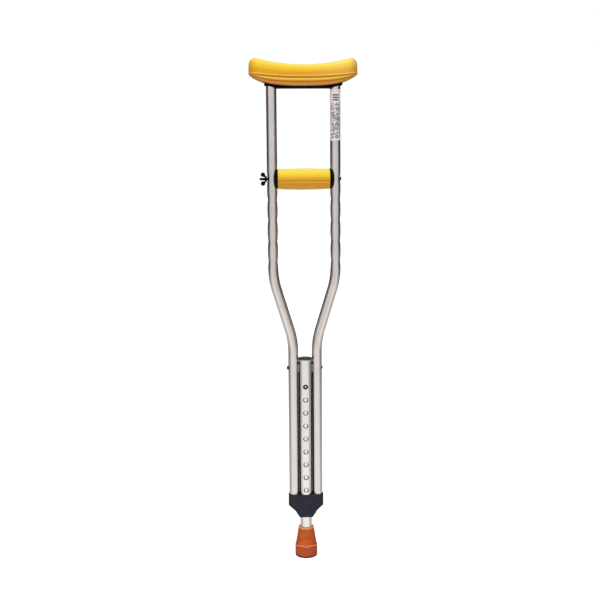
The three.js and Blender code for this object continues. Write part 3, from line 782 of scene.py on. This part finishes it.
def clip_rows():
    """Cross sections of the strip, down the front leg, round the bend and up the back leg."""
    line = [(-LEG_Y + STRIP / 2, z) for z in np.linspace(BUTTON_Z + 7 * MM, CLIP_BEND_Z, 26)]
    for s in np.linspace(0, math.pi, 30)[1:]:
        line.append(((-LEG_Y + STRIP / 2) * math.cos(s), CLIP_BEND_Z - (LEG_Y - STRIP / 2) * math.sin(s)))
    line += [(LEG_Y - STRIP / 2, z) for z in np.linspace(CLIP_BEND_Z, BUTTON_Z, 20)[1:]]
    line = np.array(line)
    slope = np.gradient(line, axis=0)
    slope /= np.linalg.norm(slope, axis=1)[:, None]
    thick = np.stack([-slope[:, 1], slope[:, 0]], axis=1) * STRIP / 2
    section = eased(box_outline(-3.3 * MM, 3.3 * MM, -1, 1), 0.14 * MM, closed=True, steps=3)
    ends = np.minimum(1, 0.55 + 0.45 * np.sin(np.clip(np.linspace(0, 14, len(line)), 0, math.pi / 2)))
    rows = []
    for point, across, narrow in zip(line, thick, ends):
        rows.append([(w * narrow, *(point + across * np.clip(t, -1, 1))) for w, t in section])
    return rows


clip = skin("clip_spring", clip_rows())
spring = Finish("tempered_spring_steel")
at = spring.here()
temper = spring.grain(at, 90, 3)
draw = spring.grain(spring.scaled(at, 2500, 300, 40), detail=2)
colour = spring.mix(temper.step(0.35, 0.65), (0.20, 0.22, 0.30, 1), (0.34, 0.30, 0.26, 1))
spring.shade(colour, 0.3 + (draw - 0.5) * 0.15, draw, 0.01 * MM, Metallic=1.0)
clip.data.shade_smooth()
clip.data.set_sharp_from_angle(angle=math.radians(35))
clip.data.materials.append(spring.material)
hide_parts("snap_clip")
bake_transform(clip)

BUTTON_R = 3.7 * MM
button_profile = [(0, -9.05 * MM), (BUTTON_R, -9.05 * MM), (BUTTON_R, -12.6 * MM)]
for s in np.linspace(0.08, 1, 12) * math.pi / 2:
    button_profile.append((BUTTON_R * math.cos(s) ** 0.7, (-12.6 - 1.9 * math.sin(s)) * MM))
button = turned("button", button_profile, "Y", (0, BUTTON_Z), 64)
# the button's pale middle is a painted highlight
worn_steel_and_highlight = plated("worn_button_steel_and_highlight", (0.05, 0.038, 0.028, 1), (0.20, 0.16, 0.13, 1), 0.3, rubbed=BUTTON_Z)
fitted(button, worn_steel_and_highlight, "snap_button", "bright_steel", "snap_button")

# ---- Underarm bracket ----
# A black moulded saddle board. Each end has a socket that the top of a side tube is pushed into and held
# by one plated rivet through tube and socket. The pad hides all but the lower bar.

BAR_LEFT = [(-71, 908), (-71, 896.6), (-68, 895.6), (-50, 891.4)]
BAR_OUTLINE = BAR_LEFT + [(-u, v) for u, v in BAR_LEFT[::-1]]


def board_outline(grow):
    """The board's outline in X and Z, in millimetres, grow larger all round."""
    side = 80 + grow
    low = 904 - grow
    half = [(70, low), (side, low + 5), (side, 921 + grow), (45, 918 + grow)]
    return half + [(-u, v) for u, v in half[::-1]]


def in_metres(outline):
    return [(u * MM, v * MM) for u, v in outline]


def socket_cutter(x):
    low = 880 * MM
    mouth = 892.0 * MM
    snug = SIDE_R + FIT
    profile = [(0, low), (snug + 0.5 * MM, low), (snug + 0.5 * MM, mouth), (snug, mouth + 0.8 * MM)]
    return turned("socket", profile + [(snug, 913.4 * MM), (0, 913.4 * MM)], "Z", (x, 0), 96)


bracket = plate("bracket", in_metres(BAR_OUTLINE), -11.4 * MM, 11.4 * MM)
shaped(bracket, plate("board", in_metres(board_outline(0)), -12.5 * MM, 12.5 * MM), operation="UNION")
rounded(bracket, 0.9 * MM, 3)
sockets = [socket_cutter(side * SPREAD) for side in (-1, 1)]
rivet_holes = [rod("Y", RIVET_HOLE_R, -20 * MM, 20 * MM, (side * SPREAD, RIVET_Z)) for side in (-1, 1)]
shaped(bracket, *sockets, *rivet_holes)
fitted(bracket, black, "frame", "black_plastic", "underarm_bracket", crease=28)

for side_name, side in SIDES:
    profile = [(0, -12.4 * MM), (2 * MM, -12.4 * MM), (2 * MM, 12.4 * MM), (0, 12.4 * MM)]
    rivet = turned("rivet_" + side_name, eased(profile, 0.4 * MM), "Y", (side * SPREAD, RIVET_Z), 48)
    fitted(rivet, bright_steel, "frame", "bright_steel", side_name + "_bracket_rivet")

# ---- Underarm pad ----
# A soft yellow foam saddle with a smooth moulded skin, pushed down over the bracket board. It has a bead
# round its widest line and two ribs along the skirt below, which draws in towards the bracket.

# all in millimetres: the pad's half length, where its crest and its narrowing begin, and its lower edge
PAD_END = 99.2
CREST_X = 86
TAPER_X = 76
SKIRT_EDGE = [(0, 894.5), (30, 895.2), (50, 896.9), (70, 900.9), (85, 906.8), (94, 911.6), (PAD_END, 915.4)]


def through(points, at_x):
    """A smooth curve through (x, height) points, read at at_x."""
    x, value = np.array(points, float).T
    slope = np.gradient(value, x)
    i = np.clip(np.searchsorted(x, at_x) - 1, 0, len(x) - 2)
    width = x[i + 1] - x[i]
    s = np.clip((at_x - x[i]) / width, 0, 1)
    rise = value[i] * (1 + 2 * s) * (1 - s) ** 2 + value[i + 1] * s * s * (3 - 2 * s)
    return rise + width * (slope[i] * s * (1 - s) ** 2 - slope[i + 1] * s * s * (1 - s))


def pad_levels(a):
    """Heights of the skirt's lower edge, the lip and the crown, a millimetres from the middle."""
    bottom = through(SKIRT_EDGE, a)
    lip = 911.2 + 6.2 * (a / PAD_END) ** 2.4
    past = np.clip((a - CREST_X) / (PAD_END - CREST_X), 0, 1)
    rounding = 945 - 15.5 * (1 - np.sqrt(1 - past)) ** 2
    top = np.where(a < CREST_X, 933.5 + 11.5 * (a / CREST_X) ** 2.05, rounding)
    return bottom, lip, top


def pad_section(x):
    """The pad's outline across at x: out along the underside, up the skirt, over the bead and crown."""
    a = abs(x)
    end = np.clip((a - TAPER_X) / (PAD_END - TAPER_X), 0, 1)
    depth = (1 - end ** 2.2) ** 0.5
    bottom, lip, top = pad_levels(a)
    half = [(0, bottom), (5, bottom), (10, bottom), (12.6, bottom), (13.3, bottom + 0.15)]
    half.append((13.7, bottom + 0.6))
    for q in np.linspace(0.04, 0.93, 40):
        ribs = 1.6 * hill(q - 0.66, 0.12) + 0.8 * hill(q - 0.2, 0.09)
        groove = 1.2 * hill(q - 0.9, 0.07) + 0.7 * hill(q - 0.39, 0.06)
        half.append((13.9 + 8.3 * q ** 0.9 + ribs - groove, bottom + 0.6 + (lip - 1.4 - bottom) * q))
    for s in np.linspace(-0.35, 0.62, 9) * math.pi:
        half.append((22.5 + 1.5 * math.cos(s), lip + 1.35 * math.sin(s)))
    foot = lip + 1.6
    for s in np.linspace(0.0, 1, 30) * math.pi / 2:
        half.append((23.1 * math.cos(s) ** 0.78, foot + (top - foot) * math.sin(s) ** 0.86))
    half = np.array(half)
    half[:, 0] *= depth
    mirror = half[-2:0:-1] * (-1, 1)
    loop = np.concatenate([half, mirror])
    return np.stack([np.full(len(loop), x), loop[:, 0], loop[:, 1]], axis=1) * MM


def uneven(piece, amount, size, seed):
    """Moves each point a little along its normal, as a soft moulding is never quite true."""
    offset = Vector((seed * 7.3, seed * 3.1, seed * 5.7))
    at = points_of(piece)
    outward = np.array([v.normal for v in piece.data.vertices], float)
    lift = []
    for point in at:
        spot = Vector(point) / size
        lift.append(noise.noise(spot + offset) + 0.4 * noise.noise(spot * 2.7 + offset))
    piece.data.vertices.foreach_set("co", (at + outward * amount * np.array(lift)[:, None]).ravel())
    piece.data.update()


pad = skin("pad", [pad_section(PAD_END * math.sin(s)) for s in np.linspace(-math.pi / 2, math.pi / 2, 181)])
uneven(pad, 0.28 * MM, 26 * MM, 1)
corners = points_of(pad)
corners = np.clip(corners, np.array(cad_low) + 1e-5, np.array(cad_high) - 1e-5)
pad.data.vertices.foreach_set("co", corners.ravel())
pad.data.update()
shaped(
    pad,
    plate("bar", in_metres(BAR_OUTLINE), -11.7 * MM, 11.7 * MM),
    plate("board", in_metres(board_outline(0.3)), -12.8 * MM, 12.8 * MM),
)


def skinned_foam(name, ramp, lines, ends, deep, right_top_paling):
    """Self-skinned foam: fine pores, soft creases and mottling. ramp lists colours up its profile, painted
    shade that lightens towards the top, and lines lists (place, half width, strength, colour) for painted
    highlights on the moulded ridges and painted shade in the grooves."""
    foam = Finish(name)
    at = foam.here()
    x, _, _ = foam.parts(at)
    level, _, _ = foam.parts(foam.stored("profile"))
    mottle = foam.grain(foam.scaled(at, 55, 55, 80), detail=4, rough=0.6)
    fine_grain = foam.grain(at, 900, 3, 0.6)
    pores = foam.cells(at, 1500).step(0.32, 0.1) * foam.grain(at, 210, 2).step(0.4, 0.62)
    creases = foam.grain(foam.scaled(at, 60, 260, 420), detail=5, rough=0.6)
    wander = level + (mottle - 0.5) * 0.16
    # painted light and shade: the ramp lightens the foam towards its top
    colour = ramp[0][1]
    for (low, _), (high, tone) in zip(ramp, ramp[1:]):
        colour = foam.mix(wander.step(low, high), colour, tone)
    # painted highlights on the ribs, lip and seam, and painted shade in the grooves
    for place, half, strength, tone in lines:
        colour = foam.mix((1 - abs(level - place) / half).step(0.0, 0.8) * strength, colour, tone)
    # the ends take the deep colour: on the grip a light band, a painted highlight on the rolled edges; on the
    # pad darker ends
    edge = abs(x).step(ends[0], ends[1]) * (0.35 + mottle * 0.8)
    colour = foam.mix(edge * 0.55, colour, deep)
    colour = foam.mix(pores * 0.3, colour, deep)
    # paler towards the top on the right side
    colour = foam.mix(x.step(-0.01, 0.07) * wander.step(0.5, 1.8) * right_top_paling, colour, linear(255, 240, 176))
    rough = 0.5 + (mottle - 0.5) * 0.22 + (fine_grain - 0.5) * 0.14
    relief = fine_grain * 0.5 + creases * 0.6 + mottle * 0.8 - pores * 0.45
    return foam.shade(colour, rough, relief, 0.22 * MM, Specular_IOR_Level=0.16, Sheen_Weight=0.03)


# the profile runs from 0 at the skirt's lower edge, through 1 at the lip, to 2 on the crown
at = points_of(pad) / MM
bottom, lip, top = pad_levels(np.minimum(np.abs(at[:, 0]), PAD_END))
level = np.where(at[:, 2] < lip, (at[:, 2] - bottom) / (lip - bottom), 1 + (at[:, 2] - lip) / (top - lip))
store_number(pad, "profile", level)
# painted light and shade: darker down the skirt, lightest on the crown
pad_shading_ramp = [
    (0.0, linear(206, 140, 70)), (0.3, linear(222, 152, 52)), (0.9, linear(226, 158, 34)),
    (1.25, linear(228, 164, 32)), (1.5, linear(240, 192, 42)), (1.9, linear(250, 222, 84)),
]
# painted shade in the grooves and under the lip, painted highlights on the ribs and lip
pad_highlight_and_shade_lines = [
    (0.39, 0.09, 0.8, linear(172, 100, 22)), (0.2, 0.09, 0.5, linear(226, 158, 86)),
    (0.66, 0.17, 0.95, linear(255, 218, 92)), (0.87, 0.09, 0.8, linear(196, 134, 20)),
    (1.03, 0.07, 0.9, linear(255, 208, 98)),
]
pad_foam = skinned_foam("pad_foam_skin", pad_shading_ramp, pad_highlight_and_shade_lines, (0.08, 0.1), linear(186, 112, 26), 0.15)
fitted(pad, pad_foam, "frame", "pad_foam", "underarm_pad", crease=48)

# ---- Hand grip ----
# A rigid dark core tube spans between the side tubes and takes the weight. A yellow foam sleeve with a
# rolled edge at each end is stretched over it, and its moulding seam runs along the front.

SLEEVE_MIDDLE = -0.3 * MM
SLEEVE_HALF = 48.5 * MM
SLEEVE_R = 19 * MM
SLEEVE_BORE_R = 13.15 * MM
CORE_R = 13 * MM
CORE_HALF = 45.6 * MM
GRIP_BORE_R = 2.8 * MM
SEAM = -0.37
# short folds near the sleeve's ends: angle from the front, place along the sleeve, and depth
FOLDS = ((-0.62, 0.9, 0.5 * MM), (-0.52, -0.8, 0.42 * MM), (-0.80, 0.75, 0.4 * MM), (0.05, 0.9, 0.3 * MM))
core_profile = [
    (GRIP_BORE_R, -CORE_HALF), (CORE_R, -CORE_HALF), (CORE_R, CORE_HALF), (GRIP_BORE_R, CORE_HALF),
]
core = turned("grip_core_tube", eased(core_profile, 0.5 * MM, closed=True), "X", (0, GRIP_Z), 96, ring=True)
core_plastic = moulded("core_moulding", (0.02, 0.018, 0.016, 1), (0.035, 0.03, 0.026, 1), 0.5)
fitted(core, core_plastic, "frame", "core_plastic", "grip_core")


def sleeve_rows():
    """Rings along the sleeve: outer skin from left to right, then the bore back again."""
    turn = np.linspace(0, 2 * math.pi, 128, endpoint=False)
    # angle from the front, positive upwards; the seam is a little below the middle
    up = np.angle(np.exp(1j * (math.pi - turn)))
    centre = (0, 0, GRIP_Z)
    rows = []
    for place in np.sin(np.linspace(-math.pi / 2, math.pi / 2, 121)):
        share = abs(place)
        x = SLEEVE_MIDDLE + SLEEVE_HALF * place
        roll = 0.34 * MM * hill(share - 0.965, 0.022) - 0.55 * MM * hill(share - 0.91, 0.02)
        past_roll = max(0.0, (share - 0.965) / 0.035)
        edge = 2.4 * MM * (1 - math.sqrt(max(0.0, 1 - past_roll ** 2)))
        sag = 0.9 * MM * (1 - share ** 4) * np.clip(-np.sin(up), 0, 1)
        swell = 0.35 * MM * math.cos(math.pi * share) + sag
        ridge = 0.34 * MM * hill(up - SEAM, 0.04) - 0.45 * MM * hill(up - SEAM + 0.12, 0.05)
        folds = np.zeros(len(turn))
        for where, length, depth in FOLDS:
            folds -= depth * hill(place - length, 0.22) * hill(up - where, 0.05)
        radius = SLEEVE_R - 0.35 * MM + roll - edge + swell + (ridge + folds) * (1 - share ** 8)
        rows.append(hoop(x, radius, turn) + centre)
    for place in np.linspace(1, -1, 25):
        rows.append(hoop(SLEEVE_MIDDLE + SLEEVE_HALF * place, SLEEVE_BORE_R, turn) + centre)
    return rows


sleeve = skin("grip_sleeve_foam", sleeve_rows(), ring=True)
uneven(sleeve, 0.10 * MM, 11 * MM, 2)
# here the profile runs from -1 at the bottom of the sleeve to 1 on its top
level = (points_of(sleeve)[:, 2] - GRIP_Z) / SLEEVE_R
store_number(sleeve, "profile", level)
# painted light and shade: lightest on top, darkest below the middle
grip_shading_ramp = [
    (-1.0, linear(232, 186, 96)), (-0.85, linear(234, 164, 52)), (-0.45, linear(216, 148, 40)),
    (-0.2, linear(208, 144, 30)), (0.05, linear(226, 172, 36)), (0.3, linear(242, 202, 50)),
    (0.6, linear(249, 220, 70)), (0.95, linear(251, 232, 104)),
]
# painted shade below the seam and a painted highlight on the seam
grip_highlight_and_shade_lines = [(-0.48, 0.06, 0.5, linear(206, 136, 34)), (-0.365, 0.06, 0.95, linear(252, 192, 84))]
grip_foam = skinned_foam("grip_foam_skin", grip_shading_ramp, grip_highlight_and_shade_lines, (0.0462, 0.0466), linear(244, 198, 96), 0.1)
fitted(sleeve, grip_foam, "frame", "grip_foam", "grip_sleeve", crease=48)

# ---- Grip caps ----
# A black moulded cap closes each end of the grip. It is domed, with a channel across it that straddles
# the side tube, so that the grip can't turn.


def cap_profile(flange, dome):
    """Out from the axis over the spigot and flange, and in again over the dome. The sizes are in
    millimetres from the middle of the grip."""
    made = [(0, 45.9), (12.7, 45.9), (13, 46.2), (13, flange), (18.6, flange), (19, flange + 0.4)]
    for s in np.linspace(0.04, 1, 16) * math.pi / 2:
        made.append((19 * math.cos(s) ** 0.96 + 1e-4, flange + 0.5 + dome * math.sin(s)))
    return np.array(made) * MM


# the sleeve has crept a little to the left on its core, so that more of the right cap shows
for side_name, side, flange, dome in (("left", -1, 49.0, 3.8), ("right", 1, 48.4, 7.4)):
    cap = turned("cap_" + side_name, cap_profile(flange, dome), "X", (0, 0), 96)
    channel = rod("Z", SIDE_R + FIT, -30 * MM, 30 * MM, (SPREAD, 0), 128)
    shaped(cap, channel, rod("X", GRIP_BORE_R, 40 * MM, 70 * MM))
    if side < 0:
        cap.data.transform(Matrix.Rotation(math.pi, 4, "Z"))
    fitted(moved(cap, GRIP_Z), black, "frame", "black_plastic", side_name + "_grip_cap")

# ---- Grip bolt, washer and wing nut ----
# A long blackened bolt goes through both side tubes and the grip. Its low domed head is on the right. On
# the left a washer and a black moulded wing nut with two round ears clamp the grip at its hole.

TUBE_FACE = 68.125 * MM
BOLT_END = -81.6 * MM
shank = [(BOLT_R, -60 * MM), (BOLT_R, 0)] + domed_head(3.8 * MM, TUBE_FACE, 1.4 * MM)
grip_bolt = threaded("bolt_grip", BOLT_R, BOLT_END, -61 * MM, 0.8 * MM, 0.4 * MM, shank)
fitted(moved(grip_bolt, GRIP_Z), dark_steel, "frame", "dark_steel", "grip_bolt", crease=40)

washer_end = -TUBE_FACE - MM
washer_profile = [
    (2.75 * MM, washer_end), (6 * MM, washer_end), (6 * MM, -TUBE_FACE), (2.75 * MM, -TUBE_FACE),
]
washer = turned("washer", eased(washer_profile, 0.2 * MM, closed=True), "X", (0, GRIP_Z), 72, ring=True)
fitted(washer, dark_steel, "wing_washer", "dark_steel", "wing_washer")

# in millimetres from the middle of the grip
HUB = -69.225
EAR_X = HUB - 6.2
EAR_Z = 8.1
EAR_R = 4.2
hub_profile = [(0, HUB - 3), (3.4, HUB - 3), (3.9, HUB - 2.5), (4.9, HUB - 0.6), (4.9, HUB), (0, HUB)]
ear_outline = [
    (HUB - 0.5, 2.6), (HUB - 2.6, 3), (EAR_X - 2.2, EAR_Z - 2.6), (EAR_X - 1, EAR_Z + 3.2),
    (EAR_X + 2.2, EAR_Z + 2.4), (HUB - 0.5, 4.9),
]
ball = [(EAR_R * math.sin(s), -EAR_R * math.cos(s)) for s in np.linspace(0, math.pi, 17)]
wing_nut = turned("wing_nut_moulding", np.array(hub_profile) * MM, "X", sides=64)
for side in (1, -1):
    ear = plate("ear", [(x * MM, side * z * MM) for x, z in ear_outline], -1.5 * MM, 1.5 * MM)
    knob = turned("knob", np.array(ball) * MM, "Y", sides=32)
    knob.data.transform(Matrix.Diagonal((1, 0.72, 1, 1)))
    knob.data.transform(Matrix.Translation((EAR_X * MM, 0, side * EAR_Z * MM)))
    shaped(wing_nut, ear, knob, operation="UNION")
melt = wing_nut.modifiers.new("melt", "REMESH")
melt.mode = "VOXEL"
melt.voxel_size = 0.22 * MM
soften = wing_nut.modifiers.new("soften", "SMOOTH")
soften.factor = 0.5
soften.iterations = 5
settle(wing_nut)
shaped(wing_nut, rod("X", NUT_BORE_R, -90 * MM, -60 * MM))
fitted(moved(wing_nut, GRIP_Z), black, "wing_nut", "black_plastic", "wing_nut")

# ---- Label ----
# A thin paper-backed film, wrapped round the front of the right tube near the top. It is printed with
# broken grey lines along it and plain dark bars near its top, and no words. One corner has started to lift.

LABEL_LOW = 797 * MM
LABEL_HIGH = 889 * MM
LABEL_HALF_ARC = math.radians(75)


def label_rows():
    rows = []
    for s in np.linspace(-1, 1, 49):
        turn = -math.pi / 2 + s * LABEL_HALF_ARC
        loop = []
        stops = np.linspace(LABEL_LOW, LABEL_HIGH, 19)
        for outer, levels in ((0.08, stops), (0.20, stops[::-1])):
            for z in levels:
                corner = max(0, -s - 0.8) / 0.2 * max(0, (z - LABEL_HIGH + 7 * MM) / (7 * MM))
                radius = SIDE_R + outer * MM + 0.5 * MM * min(corner, 1)
                loop.append((SPREAD + radius * math.cos(turn), radius * math.sin(turn), z))
        rows.append(loop)
    return rows


label = skin("label_wrap", label_rows())
at = points_of(label)
turn = np.arctan2(at[:, 0] - SPREAD, -at[:, 1])
store(label, "film", np.stack([turn * SIDE_R, at[:, 2] - LABEL_LOW, 0 * turn], axis=1))
film = Finish("label_printed_film")
across, along, _ = film.parts(film.stored("film"))
line_at = across / (2.3 * MM)
line = film.maths("FLOOR", line_at)
within = abs(film.maths("FRACT", line_at) - 0.5)
spot = film.node("CombineXYZ", None, {0: line * 17.3, 1: along * 330, 2: 0.0})
dashes = film.grain(spot, 1.0, 1).step(0.44, 0.48) * within.step(0.38, 0.32)
dashes = dashes * abs(across).step(9.5 * MM, 9 * MM)
dashes = dashes * along.step(3 * MM, 3.4 * MM) * along.step(68 * MM, 67.5 * MM)
bars = abs(film.maths("FRACT", along / (4.4 * MM)) - 0.5).step(0.3, 0.26)
bars = bars * along.step(71 * MM, 71.3 * MM) * along.step(84 * MM, 83.7 * MM)
bars = bars * abs(across).step(5.6 * MM, 5.4 * MM)
paper = film.grain(film.stored("film"), 160, 4)
colour = film.mix(paper, linear(222, 214, 214), linear(240, 234, 234))
colour = film.mix(dashes * 0.9, colour, linear(46, 42, 42))
colour = film.mix(bars * 0.95, colour, linear(14, 12, 12))
film.shade(colour, 0.36 + (paper - 0.5) * 0.2, paper, 0.02 * MM, Specular_IOR_Level=0.4)
fitted(label, film, "frame", "label_film", "blank_label")

# ---- Studio ----
# A wide white floor and a white surround. The floor lies below the lowest reach of the tip, so that it
# never hides it. The light is even from the front half and above, and falls away behind on both sides,
# which gives the tubes their dark edges.

camera_data = bpy.data.cameras.new("studio_camera")
camera_data.sensor_width = 36
camera_data.lens = 54
camera_data.clip_start = 0.05
camera_data.clip_end = 200
camera = bpy.data.objects.new("studio_camera", camera_data)
bpy.context.scene.collection.objects.link(camera)
bpy.context.scene.camera = camera
CAMERA_AT = (-0.08894, -1.67605, 0.73121)
PITCH = 0.136007548
YAW = 0.04780929
ROLL = -0.00758387
forward = Vector((math.sin(YAW) * math.cos(PITCH), math.cos(YAW) * math.cos(PITCH), -math.sin(PITCH)))
right = Vector((math.cos(YAW), -math.sin(YAW), 0))
above = right.cross(forward)
right, above = (
    math.cos(ROLL) * right + math.sin(ROLL) * above,
    math.cos(ROLL) * above - math.sin(ROLL) * right,
)
stand = Matrix((right, above, -forward)).transposed().to_4x4()
camera.matrix_world = Matrix.Translation(CAMERA_AT) @ stand

world = bpy.data.worlds.new("studio_surround")
bpy.context.scene.world = world
world.use_nodes = True
surround = Finish("surround", world.node_tree)
x, y, z = surround.parts(surround.node("TexCoord", out=0))
facing = -y / surround.maths("SQRT", surround.maths("MAXIMUM", 1 - z * z, 0.001))
front = (facing - x * 0.06).step(0.18, 0.68)
gloom = 0.03 + z.step(-0.02, -0.45) * 0.6
bright = 0.95 - z.step(-0.24, -0.10) * 0.28 + z.step(0.0, 0.12) * (0.16 - x * 0.14)
level = front * bright + (1 - front) * gloom
high = z.step(0.25, 0.85)
level = level * (1 - high) + high * 1.1
level = level * (1 - z.step(-0.42, -0.8) * 0.3)
dip = z.step(-0.13, -0.09) * (1 - z.step(-0.03, 0.04)) * 0.09
level = level + front * (z.step(-0.22, -0.33) * 0.09 - dip)
is_camera = surround.node("LightPath", out=0)
level = level * (1 - is_camera) + is_camera * 1.02
glow = surround.node("Background", None, {"Color": (1.0, 0.995, 0.99, 1), "Strength": level})
world_end = world.node_tree.nodes.new("ShaderNodeOutputWorld")
world.node_tree.links.new(glow.socket, world_end.inputs["Surface"])


def softbox(name, place, aim, size, watts):
    lamp = bpy.data.lights.new(name, "AREA")
    lamp.shape = "RECTANGLE"
    lamp.size, lamp.size_y = size
    lamp.energy = watts
    holder = bpy.data.objects.new(name, lamp)
    holder.location = place
    holder.rotation_euler = (Vector(aim) - Vector(place)).to_track_quat("-Z", "Y").to_euler()
    holder.visible_glossy = False
    bpy.context.scene.collection.objects.link(holder)


softbox("softbox_above", (-0.5, -1.1, 2.5), (0, 0, 0.7), (1.4, 1.4), 9)
softbox("softbox_left", (-1.9, -1.5, 0.9), (0, 0, 0.5), (0.7, 1.8), 4.5)

FLOOR_Z = -0.21
FLOOR_CORNERS = [(-40, -40), (40, -40), (40, 40), (-40, 40)]
floor = skin("floor", [[(x, y, z) for x, y in FLOOR_CORNERS] for z in (FLOOR_Z - 0.02, FLOOR_Z)])
pale = Finish("pale_floor")
speck = pale.grain(pale.here(), 14, 2)
grey = pale.mix(speck, (0.86, 0.86, 0.86, 1), (0.9, 0.9, 0.9, 1))
matt = pale.node("BsdfDiffuse", None, {"Color": grey})
lift = pale.node("Emission", None, {"Color": (1, 1, 1, 1), "Strength": 0.42})
pale.node_output(pale.node("AddShader", None, {0: matt, 1: lift}))
floor.data.materials.append(pale.material)
floor.visible_glossy = False
floor.visible_diffuse = False
floor.visible_shadow = False

bpy.context.scene.view_settings.view_transform = "Standard"
bpy.context.scene.view_settings.look = "None"
